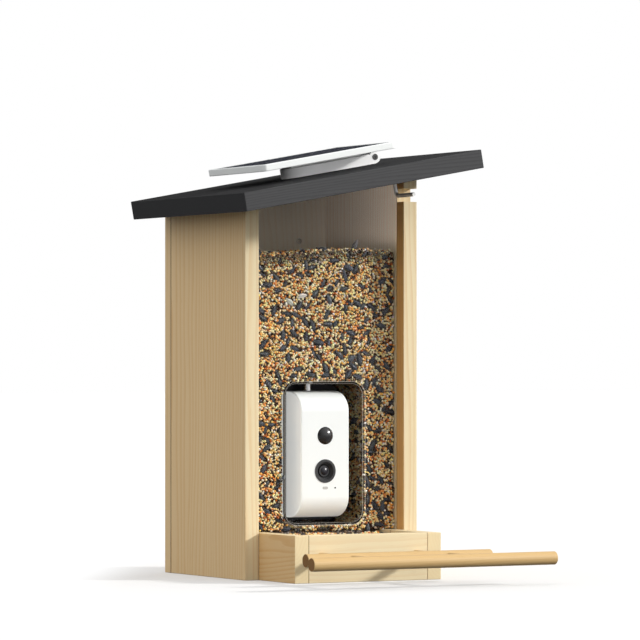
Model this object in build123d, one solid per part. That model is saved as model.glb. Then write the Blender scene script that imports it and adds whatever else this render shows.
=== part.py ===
from build123d import *
from math import cos, radians, sin, sqrt, tan
import os

os.makedirs("parts", exist_ok=True)

# All lengths are in millimetres, all angles in degrees.
# The origin is the centre of the body's underside. X runs to the right as seen from the front,
# Y runs to the back, Z runs up.

# Body boards
body_width = 190
side_board = 15
side_depth = 157
back_board = 12
left_height = 355
board_round = 0.6
overrun = 1

# Roof board
roof_pitch = 10.3
roof_board = 18
roof_overhang_side = 35.3
roof_overhang_front = 69
roof_round = 0.7
roof_gap = 0.3

# Tray and floor
tray_reach = 71
tray_height = 45
tray_board = 15
floor_board = 12

# Perch
perch_bar_diameter = 12.5
perch_rod_diameter = 8
perch_height = 24.7
perch_rod_inset = 13
short_bar_length = 200
long_bar_length = 261
short_bar_reach = 57
long_bar_reach = 123
rod_seat_depth = 12
rod_end_depth = 7
perch_end_round = 0.5

# Clear window with its moulded camera pocket
window_setback = 13.4
window_sheet = 3
groove_depth = 5
groove_clearance = 0.15
pocket_width = 85
pocket_height = 134.2
pocket_sill = 7.75
pocket_corner = 11.5
pocket_depth = 51
pocket_wall = 2.5
pocket_rim_round = 3.5

# Seed
seed_drop = 38
seed_clearance = 0.3
tray_seed_front_drop = 18
tray_seed_back_drop = 1.5
hollow_pitch = 21
hollow_depth = 2.2
hollow_length = 12
hollow_width = 8
hollow_slope = 50
hollow_turn = 35

# Wood screws and dowels
wood_screw_radius = 2
wood_screw_head_radius = 4
screw_clearance = 0.05
screw_tip_share = 1.5
screw_slot_share = 0.25
screw_arm_share = 1.2
back_screw_length = 40
back_screw_shares = (0.11, 0.39, 0.68, 0.93)
floor_screw_length = 35
floor_screw_shares = (0.13, 0.51, 0.89)
tray_screw_length = 25
tray_screw_shares = (0.19, 0.76)
tray_screw_drop = 13
dowel_radius = 3
dowel_length = 16
dowel_shares = (0.27, 0.82)

# Wall mounting holes
wall_hole_radius = 2.75
wall_hole_spacing = 100
wall_hole_drop = 25

# Hinges
hinge_length = 40
hinge_leaf_width = 16
hinge_leaf_thickness = 1.2
hinge_barrel_radius = 2.5
hinge_pin_radius = 1.25
hinge_clearance = 0.3
hinge_bore_clearance = 0.05
hinge_inset = 48
hinge_screw_radius = 1.4
hinge_screw_head_radius = 2.8
hinge_screw_length = 11
hinge_screw_spacing = 24
hinge_screw_margin = 5.4

# Latch hook and its notch
hook_radius = 2
hook_bend = 4
hook_drop = 15.5
hook_reach = 26
hook_inset = 4
hook_setback = 6.5
hook_bite = 12
hook_clearance = 0.05
hook_rest_turn = 80
notch_depth = 12.5
notch_drop = 12
notch_height = 12.9

# Camera case
case_width = 53
case_lift = 4.7
case_wall = 2.2
case_nose_depth = 26
case_nose_height = 20
case_side_round = 1.2
case_rear_depth = 17.5
seal_thickness = 1
post_radius = 3
post_bore = 1.2
post_inset = 2.7
post_end_inset = 8.3
post_start = 13
cover_screw_radius = 1.15
cover_screw_head_radius = 2.4
cover_screw_head = 1.6
cover_screw_length = 22

# Motion-sensor dome
dome_height_share = 0.6485
dome_radius = 8.5
dome_bulge = 3.2
dome_shell = 1
dome_flange = 1.3
dome_sensor_radius = 4
dome_sensor_length = 3.5

# Camera lens
lens_height_share = 0.3687
bezel_radius = 11.35
bezel_proud = 0.5
bezel_flange = 1.4
bezel_length = 4.6
bezel_mouth_radius = 9
bezel_throat_radius = 5.6
barrel_radius = 5.4
lens_radius = 4
lens_bulge = 1.3
lens_thickness = 1.6
ring_step = 0.5
ring_shares = (0.4, 0.72)

# Indicator and microphone
indicator_drop = 16.4
indicator_width = 6
indicator_tall = 2.6
microphone_offset = 11
microphone_hole_radius = 0.75
microphone_radius = 2
microphone_length = 1.5
press_clearance = 0.05

# Inside the camera case
board_side_gap = 4.3
board_end_gap = 12.3
board_thickness = 1.6
board_setback = 8.2
cell_radius = 9.2
cell_length = 65
cell_gap = 0.4
cell_lift = 11.7
cradle_wall = 1.6
cradle_clearance = 0.3
cradle_post_radius = 2.5
socket_width = 9
socket_depth = 3.3
socket_length = 7
socket_shell = 0.4
socket_inset = 8
plug_width = 12
plug_depth = 6
plug_flange = 0.8

# Power button
button_radius = 4
button_proud = 0.9
button_travel = 0.6
button_flange = 1
button_flange_width = 1
button_inset = 9.5
button_lift = 37.4
button_length = 3.6
switch_size = 6

# Camera mounting in the pocket
insert_radius = 4.2
insert_length = 8
insert_wall = 1.8
mount_inset = 11.4
sleeve_length = 6.9
sleeve_radius = 4.5
mount_screw_radius = 3.1
mount_screw_clearance = 0.1
mount_head_radius = 6
mount_head_height = 3.4
dock_gap = 0.3
dock_thickness = 2.7
dock_margin = 1
dock_screw_radius = 1.5
dock_screw_head_radius = 2.8
dock_screw_length = 9
dock_screw_spacing = 66
dock_nut_radius = 3.1
dock_nut_height = 2.4

# Solar panel and its bracket
pivot_inset = 2
panel_length = 149
panel_depth = 116
panel_thickness = 6.6
panel_corner = 4
panel_round = 0.8
panel_inset = 25
panel_setback = -3
panel_height = 13
panel_border = 3.6
cell_board = 1
cover_sheet = 0.5
panel_clearance = 0.1
base_length = 102
base_width = 34
base_height = 10
base_round = 1
lug_radius = 6
lug_width = 6
pivot_height = 6.4
pivot_radius = 2
pivot_clearance = 0.05
pivot_head_radius = 3
pivot_head_height = 1.6
head_seat = 1.2
pivot_nut_radius = 4
pivot_nut_height = 3.2
arm_clearance = 0.3
arm_margin = 3
arm_tongue = 14
panel_screw_radius = 1.25
panel_screw_head_radius = 2.4
panel_screw_length = 5
panel_screw_margin = 11.35
base_screw_margin = 20.7
base_screw_length = 20
junction_length = 24
junction_width = 18
junction_height = 6
junction_inset = 106
junction_gap = 10
gland_radius = 2.7
gland_length = 5
gland_bore = 1.6

# Derived places
body_depth = side_depth + back_board
front_y = -body_depth / 2
rear_y = body_depth / 2
hopper_rear_y = rear_y - back_board
outer_x = body_width / 2
inner_x = outer_x - side_board
tray_front_y = front_y - tray_reach
tray_inner_x = inner_x - tray_board
window_y = front_y + window_setback
window_back_y = window_y + window_sheet
right_height = left_height + body_width * tan(radians(roof_pitch))
roof_slope_width = body_width / cos(radians(roof_pitch))
roof_frame = Location((-outer_x, 0, left_height), (0, -roof_pitch, 0))
window_low = tray_height + groove_clearance
pocket_low = window_low + pocket_sill
pocket_middle = pocket_low + pocket_height / 2
pocket_top = pocket_low + pocket_height
dock_rear_y = window_y + pocket_depth
dock_front_y = dock_rear_y - dock_thickness
case_bottom = pocket_low + case_lift
case_top = pocket_top - sleeve_length
case_height = case_top - case_bottom
case_middle = case_bottom + case_height / 2
case_front_y = window_y
case_rear_y = dock_front_y - dock_gap
parting_y = case_rear_y - case_rear_depth
mount_y = case_rear_y - mount_inset
hinge_screw_reach = hinge_leaf_width - hinge_screw_margin

# Directions that a fastener's head faces
FACE_UP = (0, 0, 0)
FACE_DOWN = (180, 0, 0)
FACE_BACK = (-90, 0, 0)
FACE_FRONT = (90, 0, 0)
FACE_LEFT = (0, -90, 0)
FACE_RIGHT = (0, 90, 0)


def block(low, high):
    """A plain box between its two far corners."""
    size = [b - a for a, b in zip(low, high)]
    centre = [(a + b) / 2 for a, b in zip(low, high)]
    return Pos(*centre) * Box(*size)


def board(low, high, edge=board_round):
    """A sawn board whose edges are slightly broken."""
    plain = block(low, high)
    return fillet(plain.edges(), edge)


def bar(radius, length, place):
    """A round bar that starts at a place and runs along that place's own up direction."""
    return place * Pos(0, 0, length / 2) * Cylinder(radius, length)


def taper(base_radius, top_radius, length, place):
    """A cone or truncated cone that starts at a place, like bar."""
    return place * Pos(0, 0, length / 2) * Cone(base_radius, top_radius, length)


def hexagon(radius, length, place):
    """A hexagonal nut blank across its corners, like bar."""
    return place * extrude(RegularPolygon(radius, 6), length)


def wood_screw(radius, head_radius, length, place, grow=0.0):
    """A countersunk screw with its head flush at a place; grow gives its hole instead."""
    head = head_radius - radius
    tip = radius * screw_tip_share
    down = place * Location((0, 0, 0), FACE_DOWN)
    shape = taper(head_radius + grow, radius + grow, head, down)
    shape += bar(radius + grow, length - tip + grow, down)
    shape += taper(radius + grow, (radius + grow) / 4, tip, down * Pos(0, 0, length - tip + grow))
    if grow == 0.0:
        slot = head_radius * screw_slot_share
        arm = head_radius * screw_arm_share
        shape -= place * Box(arm, slot, head)
        shape -= place * Box(slot, arm, head)
    return shape


def pan_screw(radius, head_radius, head_height, length, place):
    """A round-headed machine screw that seats at a place and runs down from it."""
    down = place * Location((0, 0, 0), FACE_DOWN)
    head = bar(head_radius, head_height, place)
    shape = head + bar(radius, length, down)
    slot = head_radius * screw_slot_share
    arm = head_radius * screw_arm_share
    top = place * Pos(0, 0, head_height)
    shape -= top * Box(arm, slot, head_height)
    shape -= top * Box(slot, arm, head_height)
    return shape


def save(name, *solids):
    """Write one named piece, or a group of like pieces, to its own file."""
    shape = solids[0] if len(solids) == 1 else Compound(children=list(solids))
    export_step(shape, f"parts/{name}.step")


# Everything above this sloped underside is cut off the walls, so that the roof can close.
above_walls = roof_frame * block(
    (-body_width, front_y - overrun, -roof_gap),
    (2 * body_width, rear_y + overrun, left_height),
)

# Hinges along the roof's sloped rear edge: a leaf on the back panel, a leaf on the roof, a pin
hinge_y = rear_y + hinge_barrel_radius + hinge_clearance
hinge_centres = [hinge_inset, roof_slope_width - hinge_inset]
knuckle = hinge_length / 3


def on_roof(along, y, above, face=FACE_UP):
    """A place measured along the slope, across it and square to the roof's underside."""
    return roof_frame * Location((along, y, above), face)


def hinge_knuckle(centre, index):
    """One of a hinge's three knuckles, counted from its left end."""
    start = centre - hinge_length / 2 + index * knuckle + hinge_clearance / 2
    length = knuckle - hinge_clearance
    tube = bar(hinge_barrel_radius, length, on_roof(start, hinge_y, 0, FACE_RIGHT))
    return tube - bar(
        hinge_pin_radius + hinge_bore_clearance, length, on_roof(start, hinge_y, 0, FACE_RIGHT)
    )


def hinge_leaf(centre, way, own):
    """A leaf that lies on the rear face, above the axis or below it, with its own knuckles."""
    clear = hinge_barrel_radius + hinge_clearance
    leaf = roof_frame * block(
        (centre - hinge_length / 2, rear_y, min(way * clear, way * hinge_leaf_width)),
        (
            centre + hinge_length / 2,
            rear_y + hinge_leaf_thickness,
            max(way * clear, way * hinge_leaf_width),
        ),
    )
    for index in own:
        start = centre - hinge_length / 2 + index * knuckle + hinge_clearance / 2
        end = start + knuckle - hinge_clearance
        root = roof_frame * block(
            (start, rear_y, min(0, way * clear)),
            (end, rear_y + hinge_leaf_thickness, max(0, way * clear)),
        )
        bore = bar(
            hinge_pin_radius + hinge_bore_clearance,
            knuckle,
            on_roof(start, hinge_y, 0, FACE_RIGHT),
        )
        leaf = leaf + root + hinge_knuckle(centre, index) - bore
    for place in hinge_screw_places(centre, way):
        leaf -= hinge_screw(place, screw_clearance)
    return leaf


def hinge_screw_places(centre, way):
    return [
        on_roof(
            centre + side * hinge_screw_spacing / 2,
            rear_y + hinge_leaf_thickness,
            way * hinge_screw_reach,
            FACE_BACK,
        )
        for side in (-1, 1)
    ]


def hinge_screw(place, grow=0.0):
    return wood_screw(
        hinge_screw_radius, hinge_screw_head_radius, hinge_screw_length, place, grow
    )


hinge_pins = []
for centre in hinge_centres:
    start = on_roof(centre - hinge_length / 2, hinge_y, 0, FACE_RIGHT)
    hinge_pins.append(bar(hinge_pin_radius, hinge_length, start))
save("hinge_pins", *hinge_pins)
save("hinge_leaves_fixed", *[hinge_leaf(centre, -1, (0, 2)) for centre in hinge_centres])
save("hinge_leaves_roof", *[hinge_leaf(centre, 1, (1,)) for centre in hinge_centres])
fixed_places = [place for centre in hinge_centres for place in hinge_screw_places(centre, -1)]
roof_places = [place for centre in hinge_centres for place in hinge_screw_places(centre, 1)]
save("hinge_screws_fixed", *[hinge_screw(place) for place in fixed_places])
save("hinge_screws_roof", *[hinge_screw(place) for place in roof_places])

# Screws through the back panel into the side panels
back_screw_places = [
    Location((side * (outer_x - side_board / 2), rear_y, left_height * share), FACE_BACK)
    for side in (-1, 1)
    for share in back_screw_shares
]
back_screws = [
    wood_screw(wood_screw_radius, wood_screw_head_radius, back_screw_length, place)
    for place in back_screw_places
]
back_screw_holes = [
    wood_screw(
        wood_screw_radius, wood_screw_head_radius, back_screw_length, place, screw_clearance
    )
    for place in back_screw_places
]

# Screws through the tray side boards, outwards into the side panels
tray_screw_places = [
    Location(
        (side * tray_inner_x, front_y + side_depth * share, tray_height - tray_screw_drop), face
    )
    for side, face in ((-1, FACE_RIGHT), (1, FACE_LEFT))
    for share in tray_screw_shares
]
tray_screws = [
    wood_screw(wood_screw_radius, wood_screw_head_radius, tray_screw_length, place)
    for place in tray_screw_places
]
tray_screw_holes = [
    wood_screw(
        wood_screw_radius, wood_screw_head_radius, tray_screw_length, place, screw_clearance
    )
    for place in tray_screw_places
]

# Screws through the tray side boards, inwards into the floor's edges
floor_screw_places = [
    Location((side * inner_x, front_y + side_depth * share, floor_board / 2), face)
    for side, face in ((-1, FACE_LEFT), (1, FACE_RIGHT))
    for share in floor_screw_shares
]
floor_screws = [
    wood_screw(wood_screw_radius, wood_screw_head_radius, floor_screw_length, place)
    for place in floor_screw_places
]
floor_screw_holes = [
    wood_screw(
        wood_screw_radius, wood_screw_head_radius, floor_screw_length, place, screw_clearance
    )
    for place in floor_screw_places
]

# Dowels that pin the tray's front board between its side boards
dowel_places = [
    Location(
        (
            side * (tray_inner_x - dowel_length / 2),
            tray_front_y + tray_board / 2,
            tray_height * share,
        ),
        face,
    )
    for side, face in ((-1, FACE_LEFT), (1, FACE_RIGHT))
    for share in dowel_shares
]
dowels = [bar(dowel_radius, dowel_length, place) for place in dowel_places]
dowel_holes = [
    bar(dowel_radius + screw_clearance, dowel_length + screw_clearance, place)
    for place in dowel_places
]

# Perch: two rods out of the tray, a short bar that they pass through and a long bar at their ends
short_bar_y = tray_front_y - short_bar_reach
long_bar_y = tray_front_y - long_bar_reach
perch_bar_radius = perch_bar_diameter / 2
perch_rod_radius = perch_rod_diameter / 2
rod_start_y = tray_front_y + rod_seat_depth
rod_end_y = long_bar_y + perch_bar_radius - rod_end_depth
rod_places = [
    Location((side * (tray_inner_x - perch_rod_inset), rod_start_y, perch_height), FACE_FRONT)
    for side in (-1, 1)
]
perch_rods = [bar(perch_rod_radius, rod_start_y - rod_end_y, place) for place in rod_places]
rod_holes = [
    bar(perch_rod_radius + screw_clearance, rod_start_y - rod_end_y + screw_clearance, place)
    for place in rod_places
]


def perch_bar(length, y):
    """A round bar across the front, with slightly rounded ends and sockets for the rods."""
    start = Location((-length / 2, y, perch_height), FACE_RIGHT)
    shape = bar(perch_bar_radius, length, start)
    shape = fillet(shape.edges().filter_by(GeomType.CIRCLE), perch_end_round)
    for hole in rod_holes:
        shape -= hole
    return shape


save("perch_rod_left", perch_rods[0])
save("perch_rod_right", perch_rods[1])
save("perch_bar_short", perch_bar(short_bar_length, short_bar_y))
save("perch_bar_long", perch_bar(long_bar_length, long_bar_y))


# Side panels: each has a groove for the window's edge, and the right one the latch notch
def side_panel(side):
    inner = side * inner_x
    outer = side * outer_x
    shape = board(
        (min(inner, outer), front_y, 0), (max(inner, outer), hopper_rear_y, right_height + roof_board)
    )
    shape -= above_walls
    groove_x = side * (inner_x + groove_depth)
    shape -= block(
        (min(side * (inner_x - overrun), groove_x), window_y - groove_clearance, tray_height),
        (max(side * (inner_x - overrun), groove_x), window_back_y + groove_clearance, 2 * right_height),
    )
    for hole in back_screw_holes + tray_screw_holes:
        shape -= hole
    return shape


left_side_panel = side_panel(-1)
right_side_panel = side_panel(1)
right_side_panel -= block(
    (inner_x - overrun, front_y - overrun, right_height - notch_drop - notch_height),
    (outer_x + overrun, front_y + notch_depth, right_height - notch_drop),
)
save("left_side_panel", left_side_panel)
save("right_side_panel", right_side_panel)

# Back panel with its two wall mounting holes
back_panel = board((-outer_x, hopper_rear_y, 0), (outer_x, rear_y, right_height + roof_board))
back_panel -= above_walls
for hole in back_screw_holes:
    back_panel -= hole
for side in (-1, 1):
    start = Location(
        (side * wall_hole_spacing / 2, hopper_rear_y - overrun, left_height - wall_hole_drop), FACE_BACK
    )
    back_panel -= bar(wall_hole_radius, back_board + 2 * overrun, start)
for place in fixed_places:
    back_panel -= hinge_screw(place, screw_clearance)
save("back_panel", back_panel)

# Tray boards and floor
for side, name in ((-1, "left"), (1, "right")):
    near, far = sorted((side * tray_inner_x, side * inner_x))
    tray_side = board((near, tray_front_y, 0), (far, hopper_rear_y, tray_height))
    for hole in tray_screw_holes + floor_screw_holes + dowel_holes:
        tray_side -= hole
    save(f"tray_side_{name}", tray_side)

tray_front_board = board(
    (-tray_inner_x, tray_front_y, 0), (tray_inner_x, tray_front_y + tray_board, tray_height)
)
for hole in dowel_holes + rod_holes:
    tray_front_board -= hole
save("tray_front_board", tray_front_board)

floor_panel = board(
    (-tray_inner_x, tray_front_y + tray_board, 0), (tray_inner_x, hopper_rear_y, floor_board)
)
for hole in floor_screw_holes:
    floor_panel -= hole
save("floor_panel", floor_panel)

save("back_screws", *back_screws)
save("tray_screws", *tray_screws)
save("floor_screws", *floor_screws)
save("tray_dowels", *dowels)

# Clear window: a sheet in the grooves with the camera pocket moulded in it
pocket_outline = Plane((0, window_y, pocket_middle), x_dir=(1, 0, 0), z_dir=(0, -1, 0))


def pocket_block(grow, depth):
    """The pocket's inside, grown all round, from the window's face back to a depth."""
    outline = pocket_outline * RectangleRounded(
        pocket_width + 2 * grow, pocket_height + 2 * grow, pocket_corner + grow
    )
    return extrude(outline, depth, dir=(0, 1, 0))


window_side_x = inner_x + groove_depth - groove_clearance
clear_window = block(
    (-window_side_x, window_y, window_low),
    (window_side_x, window_back_y, right_height + roof_board),
)
clear_window -= Pos(0, 0, -roof_gap) * above_walls
clear_window += pocket_block(pocket_wall, pocket_depth + pocket_wall)
pocket_hollow = pocket_block(0, pocket_depth)
clear_window -= pocket_hollow
rim_edges = [
    edge
    for edge in clear_window.edges().filter_by_position(Axis.Y, window_y, window_y)
    if abs(edge.center().X) < pocket_width / 2 + overrun
    and abs(edge.center().Z - pocket_middle) < pocket_height / 2 + overrun
    and edge.length < pocket_height
]
clear_window = fillet(rim_edges, pocket_rim_round)

# The mounting sleeve stands on the case and the screw comes down through the pocket's top wall
mount_head_z = pocket_top + pocket_wall
mount_hole_radius = mount_screw_radius + mount_screw_clearance
clear_window -= bar(
    mount_hole_radius,
    pocket_wall + 2 * overrun,
    Location((0, mount_y, pocket_top - overrun), FACE_UP),
)

# Dock plate at the back of the pocket, held by screws with nuts behind the pocket's wall
dock_screw_places = [
    Location((0, dock_front_y, pocket_middle + side * dock_screw_spacing / 2), FACE_FRONT)
    for side in (-1, 1)
]
dock_plate = extrude(
    Plane((0, dock_front_y, pocket_middle), x_dir=(1, 0, 0), z_dir=(0, -1, 0))
    * RectangleRounded(
        pocket_width - 2 * dock_margin, pocket_height - 2 * dock_margin, pocket_corner - dock_margin
    ),
    dock_thickness,
    dir=(0, 1, 0),
)
dock_screws = []
dock_nuts = []
for place in dock_screw_places:
    dock_screws.append(
        wood_screw(dock_screw_radius, dock_screw_head_radius, dock_screw_length, place)
    )
    hole = wood_screw(
        dock_screw_radius, dock_screw_head_radius, dock_screw_length, place, screw_clearance
    )
    dock_plate -= hole
    clear_window -= hole
    nut_start = Location(
        (0, dock_rear_y + pocket_wall, place.position.Z), FACE_BACK
    )
    dock_nuts.append(hexagon(dock_nut_radius, dock_nut_height, nut_start) - hole)
save("camera_dock", dock_plate)
save("dock_screws", *dock_screws)
save("dock_nuts", *dock_nuts)
save("clear_window", clear_window)

# Camera case: its side outline is flat in front with long elliptical corners above and below
def case_block(inset):
    """The case's outer form, with every wall moved in by an inset."""
    low = case_bottom + inset
    high = case_top - inset
    front = case_front_y + inset
    rear = case_rear_y - inset
    nose_y = case_front_y + case_nose_depth
    radius_y = case_nose_depth - inset
    radius_z = case_nose_height - inset
    low_z = case_bottom + case_nose_height
    high_z = case_top - case_nose_height
    side_plane = Plane((0, 0, 0), x_dir=(0, 1, 0), z_dir=(1, 0, 0))
    top_curve = EllipticalCenterArc((nose_y, high_z), radius_y, radius_z, 90, arc_size=90)
    low_curve = EllipticalCenterArc((nose_y, low_z), radius_y, radius_z, 180, arc_size=90)
    outline = [
        Line((rear, high), (nose_y, high)),
        top_curve,
        Line((front, high_z), (front, low_z)),
        low_curve,
        Line((nose_y, low), (rear, low)),
        Line((rear, low), (rear, high)),
    ]
    face = side_plane * make_face(Wire(outline))
    half = case_width / 2 - inset
    return extrude(Pos(-half, 0, 0) * face, 2 * half, dir=(1, 0, 0))


case_outer = case_block(0)
case_side_edges = [
    edge
    for edge in case_outer.edges()
    if abs(edge.center().X) > case_width / 2 - case_wall
    and edge.center().Y < case_rear_y - case_wall
]
case_outer = fillet(case_side_edges, case_side_round)
case_inner = case_block(case_wall)
seal_rear_y = parting_y + seal_thickness
case_half = case_width / 2
case_inner_front = case_front_y + case_wall
case_inner_rear = case_rear_y - case_wall


def case_slice(front, rear):
    """A slab across the case between two depths."""
    return block(
        (-case_width, front, case_bottom - overrun), (case_width, rear, case_top + overrun)
    )


case_shell = case_outer - case_inner
front_cover = case_shell & case_slice(case_front_y - overrun, parting_y)
rear_cover = case_shell & case_slice(seal_rear_y, case_rear_y + overrun)
cover_seal = case_shell & case_slice(parting_y, seal_rear_y)

# Four screws join the covers from behind, through columns of the rear cover into front posts
cover_screw_places = [
    Location(
        (
            side * (case_half - case_wall - post_inset),
            case_inner_rear,
            case_middle + end * (case_height / 2 - post_end_inset),
        ),
        FACE_BACK,
    )
    for side in (-1, 1)
    for end in (-1, 1)
]
cover_screws = []
for place in cover_screw_places:
    x, y, z = place.position
    cover_screws.append(
        pan_screw(
            cover_screw_radius, cover_screw_head_radius, cover_screw_head, cover_screw_length, place
        )
    )
    front_start = Location((x, case_inner_front + post_start, z), FACE_BACK)
    front_length = parting_y - case_inner_front - post_start
    front_cover += bar(post_radius, front_length, front_start) & case_outer
    rear_start = Location((x, seal_rear_y, z), FACE_BACK)
    rear_cover += bar(post_radius, case_inner_rear - seal_rear_y, rear_start) & case_outer
    seal_start = Location((x, parting_y, z), FACE_BACK)
    cover_seal += bar(post_radius, seal_thickness, seal_start) & case_outer
    shank_hole = bar(
        cover_screw_radius + screw_clearance,
        cover_screw_length + screw_clearance,
        place * Location((0, 0, 0), FACE_DOWN),
    )
    head_hole = bar(cover_screw_head_radius + press_clearance, case_wall + overrun, place)
    front_cover -= shank_hole
    rear_cover -= shank_hole
    rear_cover -= head_hole
    cover_seal -= shank_hole
save("cover_screws", *cover_screws)
save("cover_seal", cover_seal)

# Motion-sensor dome, pressed in from inside, and the sensor can behind it
def facing(height, x=0.0, depth=0.0):
    """A place on the case's front, whose up direction points to the front."""
    return Location((x, case_front_y + depth, height), FACE_FRONT)


def cap(radius, bulge, place):
    """A domed cap whose flat side lies at a place."""
    ball = (radius**2 + bulge**2) / (2 * bulge)
    half_height = bulge - ball + sqrt(ball**2 - (radius / 2) ** 2)
    outline = [
        Line((0, 0), (radius, 0)),
        ThreePointArc((radius, 0), (radius / 2, half_height), (0, bulge)),
        Line((0, bulge), (0, 0)),
    ]
    return place * revolve(Plane.XZ * make_face(Wire(outline)), Axis.Z)


dome_height = case_bottom + case_height * dome_height_share
dome = cap(dome_radius, dome_bulge, facing(dome_height))
dome_seat = case_wall + press_clearance
dome += bar(dome_radius, dome_seat, facing(dome_height, 0, dome_seat))
dome += bar(
    dome_radius + dome_flange, dome_flange, facing(dome_height, 0, dome_seat + dome_flange)
)
dome -= bar(
    dome_radius - dome_flange, 2 * case_wall, facing(dome_height, 0, 2 * case_wall)
)
dome -= cap(dome_radius - dome_flange, dome_bulge - dome_shell, facing(dome_height))
save("motion_sensor_dome", dome)
front_cover -= bar(
    dome_radius + press_clearance, case_wall + 2 * overrun, facing(dome_height, 0, case_wall + overrun)
)

# Main board across the case, with the sensor can, the lens barrel and the microphone on it
board_front_y = case_inner_front + board_setback - board_thickness
board_rear_y = board_front_y + board_thickness
board_depth = board_front_y - case_front_y
board_width = 2 * (case_half - case_wall - board_side_gap)
board_height = case_height - 2 * board_end_gap
main_board = block(
    (-board_width / 2, board_front_y, case_middle - board_height / 2),
    (board_width / 2, board_rear_y, case_middle + board_height / 2),
)
save("main_board", main_board)
save(
    "motion_sensor",
    bar(dome_sensor_radius, dome_sensor_length, facing(dome_height, 0, board_depth)),
)

# Lens bezel, lens barrel and lens glass
lens_height = case_bottom + case_height * lens_height_share
bezel_depth = bezel_length - bezel_proud
bezel = bar(bezel_radius, bezel_length, facing(lens_height, 0, bezel_depth))
bezel += bar(
    bezel_radius + bezel_flange,
    bezel_depth - case_wall - press_clearance,
    facing(lens_height, 0, bezel_depth),
)
bezel -= taper(
    bezel_throat_radius, bezel_mouth_radius, bezel_length, facing(lens_height, 0, bezel_depth)
)
for share in ring_shares:
    ring_radius = bezel_throat_radius + (bezel_mouth_radius - bezel_throat_radius) * share
    ring_depth = bezel_length * (1 - share)
    bezel -= bar(
        ring_radius + ring_step, ring_depth, facing(lens_height, 0, ring_depth - bezel_proud)
    )
save("lens_bezel", bezel)
front_cover -= bar(
    bezel_radius + press_clearance, case_wall + 2 * overrun, facing(lens_height, 0, case_wall + overrun)
)
barrel_front = case_wall
lens_barrel = bar(
    barrel_radius, board_depth - barrel_front, facing(lens_height, 0, board_depth)
)
lens_barrel -= bar(
    lens_radius + press_clearance, lens_thickness, facing(lens_height, 0, barrel_front + lens_thickness)
)
save("lens_barrel", lens_barrel)
lens_glass = bar(lens_radius, lens_thickness, facing(lens_height, 0, barrel_front + lens_thickness))
lens_glass += cap(lens_radius, lens_bulge, facing(lens_height, 0, barrel_front))
save("lens_glass", lens_glass)

# Indicator window and microphone
indicator_height = lens_height - indicator_drop
indicator = extrude(
    Plane(facing(indicator_height, 0, case_wall + dome_flange))
    * SlotOverall(indicator_width, indicator_tall),
    case_wall + dome_flange,
)
save("indicator_window", indicator)
front_cover -= extrude(
    Plane(facing(indicator_height, 0, case_wall + overrun))
    * SlotOverall(indicator_width + 2 * press_clearance, indicator_tall + 2 * press_clearance),
    case_wall + 2 * overrun,
)
front_cover -= bar(
    microphone_hole_radius,
    case_wall + 2 * overrun,
    facing(indicator_height, microphone_offset, case_wall + overrun),
)
save(
    "microphone",
    bar(
        microphone_radius,
        microphone_length,
        facing(indicator_height, microphone_offset, board_depth),
    ),
)

# Posts behind the front that the main board rests on
for side in (-1, 1):
    for end in (-1, 1):
        x = side * (board_width / 2 - post_radius)
        z = case_middle + end * (board_height / 2 - post_radius)
        front_cover += bar(
            post_bore, board_depth - case_wall + press_clearance, facing(z, x, board_depth)
        ) & case_outer
save("camera_front_cover", front_cover)

# Battery cells in a cradle that stands on posts of the rear cover
cell_centre_y = board_rear_y + cradle_wall + cell_radius
cell_low = case_bottom + case_wall + cell_lift
cells = [
    bar(cell_radius, cell_length, Location((side * (cell_radius + cell_gap / 2), cell_centre_y, cell_low)))
    for side in (-1, 1)
]
save("battery_cells", *cells)
cradle_half = 2 * cell_radius + cell_gap / 2
cradle_front_y = cell_centre_y + cell_radius + cradle_clearance
battery_cradle = block(
    (-cradle_half, cradle_front_y, cell_low - cradle_clearance - cradle_wall),
    (cradle_half, cradle_front_y + cradle_wall, cell_low + cell_length + cradle_clearance + cradle_wall),
)
for end, z in ((-1, cell_low - cradle_clearance), (1, cell_low + cell_length + cradle_clearance)):
    low_z, high_z = sorted((z, z + end * cradle_wall))
    battery_cradle += block(
        (-cradle_half, cell_centre_y - cell_radius / 2, low_z), (cradle_half, cradle_front_y, high_z)
    )
save("battery_cradle", battery_cradle)
for side in (-1, 1):
    for z in (cell_low + post_radius, cell_low + cell_length - post_radius):
        rear_cover += bar(
            cradle_post_radius,
            case_inner_rear - cradle_front_y - cradle_wall,
            Location((side * cell_radius, cradle_front_y + cradle_wall, z), FACE_BACK),
        )

# Charging socket in the rear cover's underside, and its rubber cover
socket_y = case_rear_y - socket_inset
socket_low = case_bottom + case_wall
socket = block(
    (-socket_width / 2, socket_y - socket_depth / 2, socket_low),
    (socket_width / 2, socket_y + socket_depth / 2, socket_low + socket_length),
)
socket -= block(
    (
        -socket_width / 2 + socket_shell,
        socket_y - socket_depth / 2 + socket_shell,
        socket_low - overrun,
    ),
    (
        socket_width / 2 - socket_shell,
        socket_y + socket_depth / 2 - socket_shell,
        socket_low + socket_length - socket_shell,
    ),
)
save("charging_socket", socket)
plug_outline = Plane((0, socket_y, case_bottom), x_dir=(1, 0, 0), z_dir=(0, 0, 1))
rear_cover -= Pos(0, 0, -overrun) * extrude(
    plug_outline * SlotOverall(plug_width, plug_depth), case_wall + 2 * overrun
)
socket_cover = extrude(
    plug_outline * SlotOverall(plug_width - 2 * press_clearance, plug_depth - 2 * press_clearance),
    case_wall - press_clearance,
)
socket_cover += Pos(0, 0, -plug_flange) * extrude(
    plug_outline * SlotOverall(plug_width + 2 * plug_flange, plug_depth + 2 * plug_flange),
    plug_flange,
)
save("charging_socket_cover", socket_cover)

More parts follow.
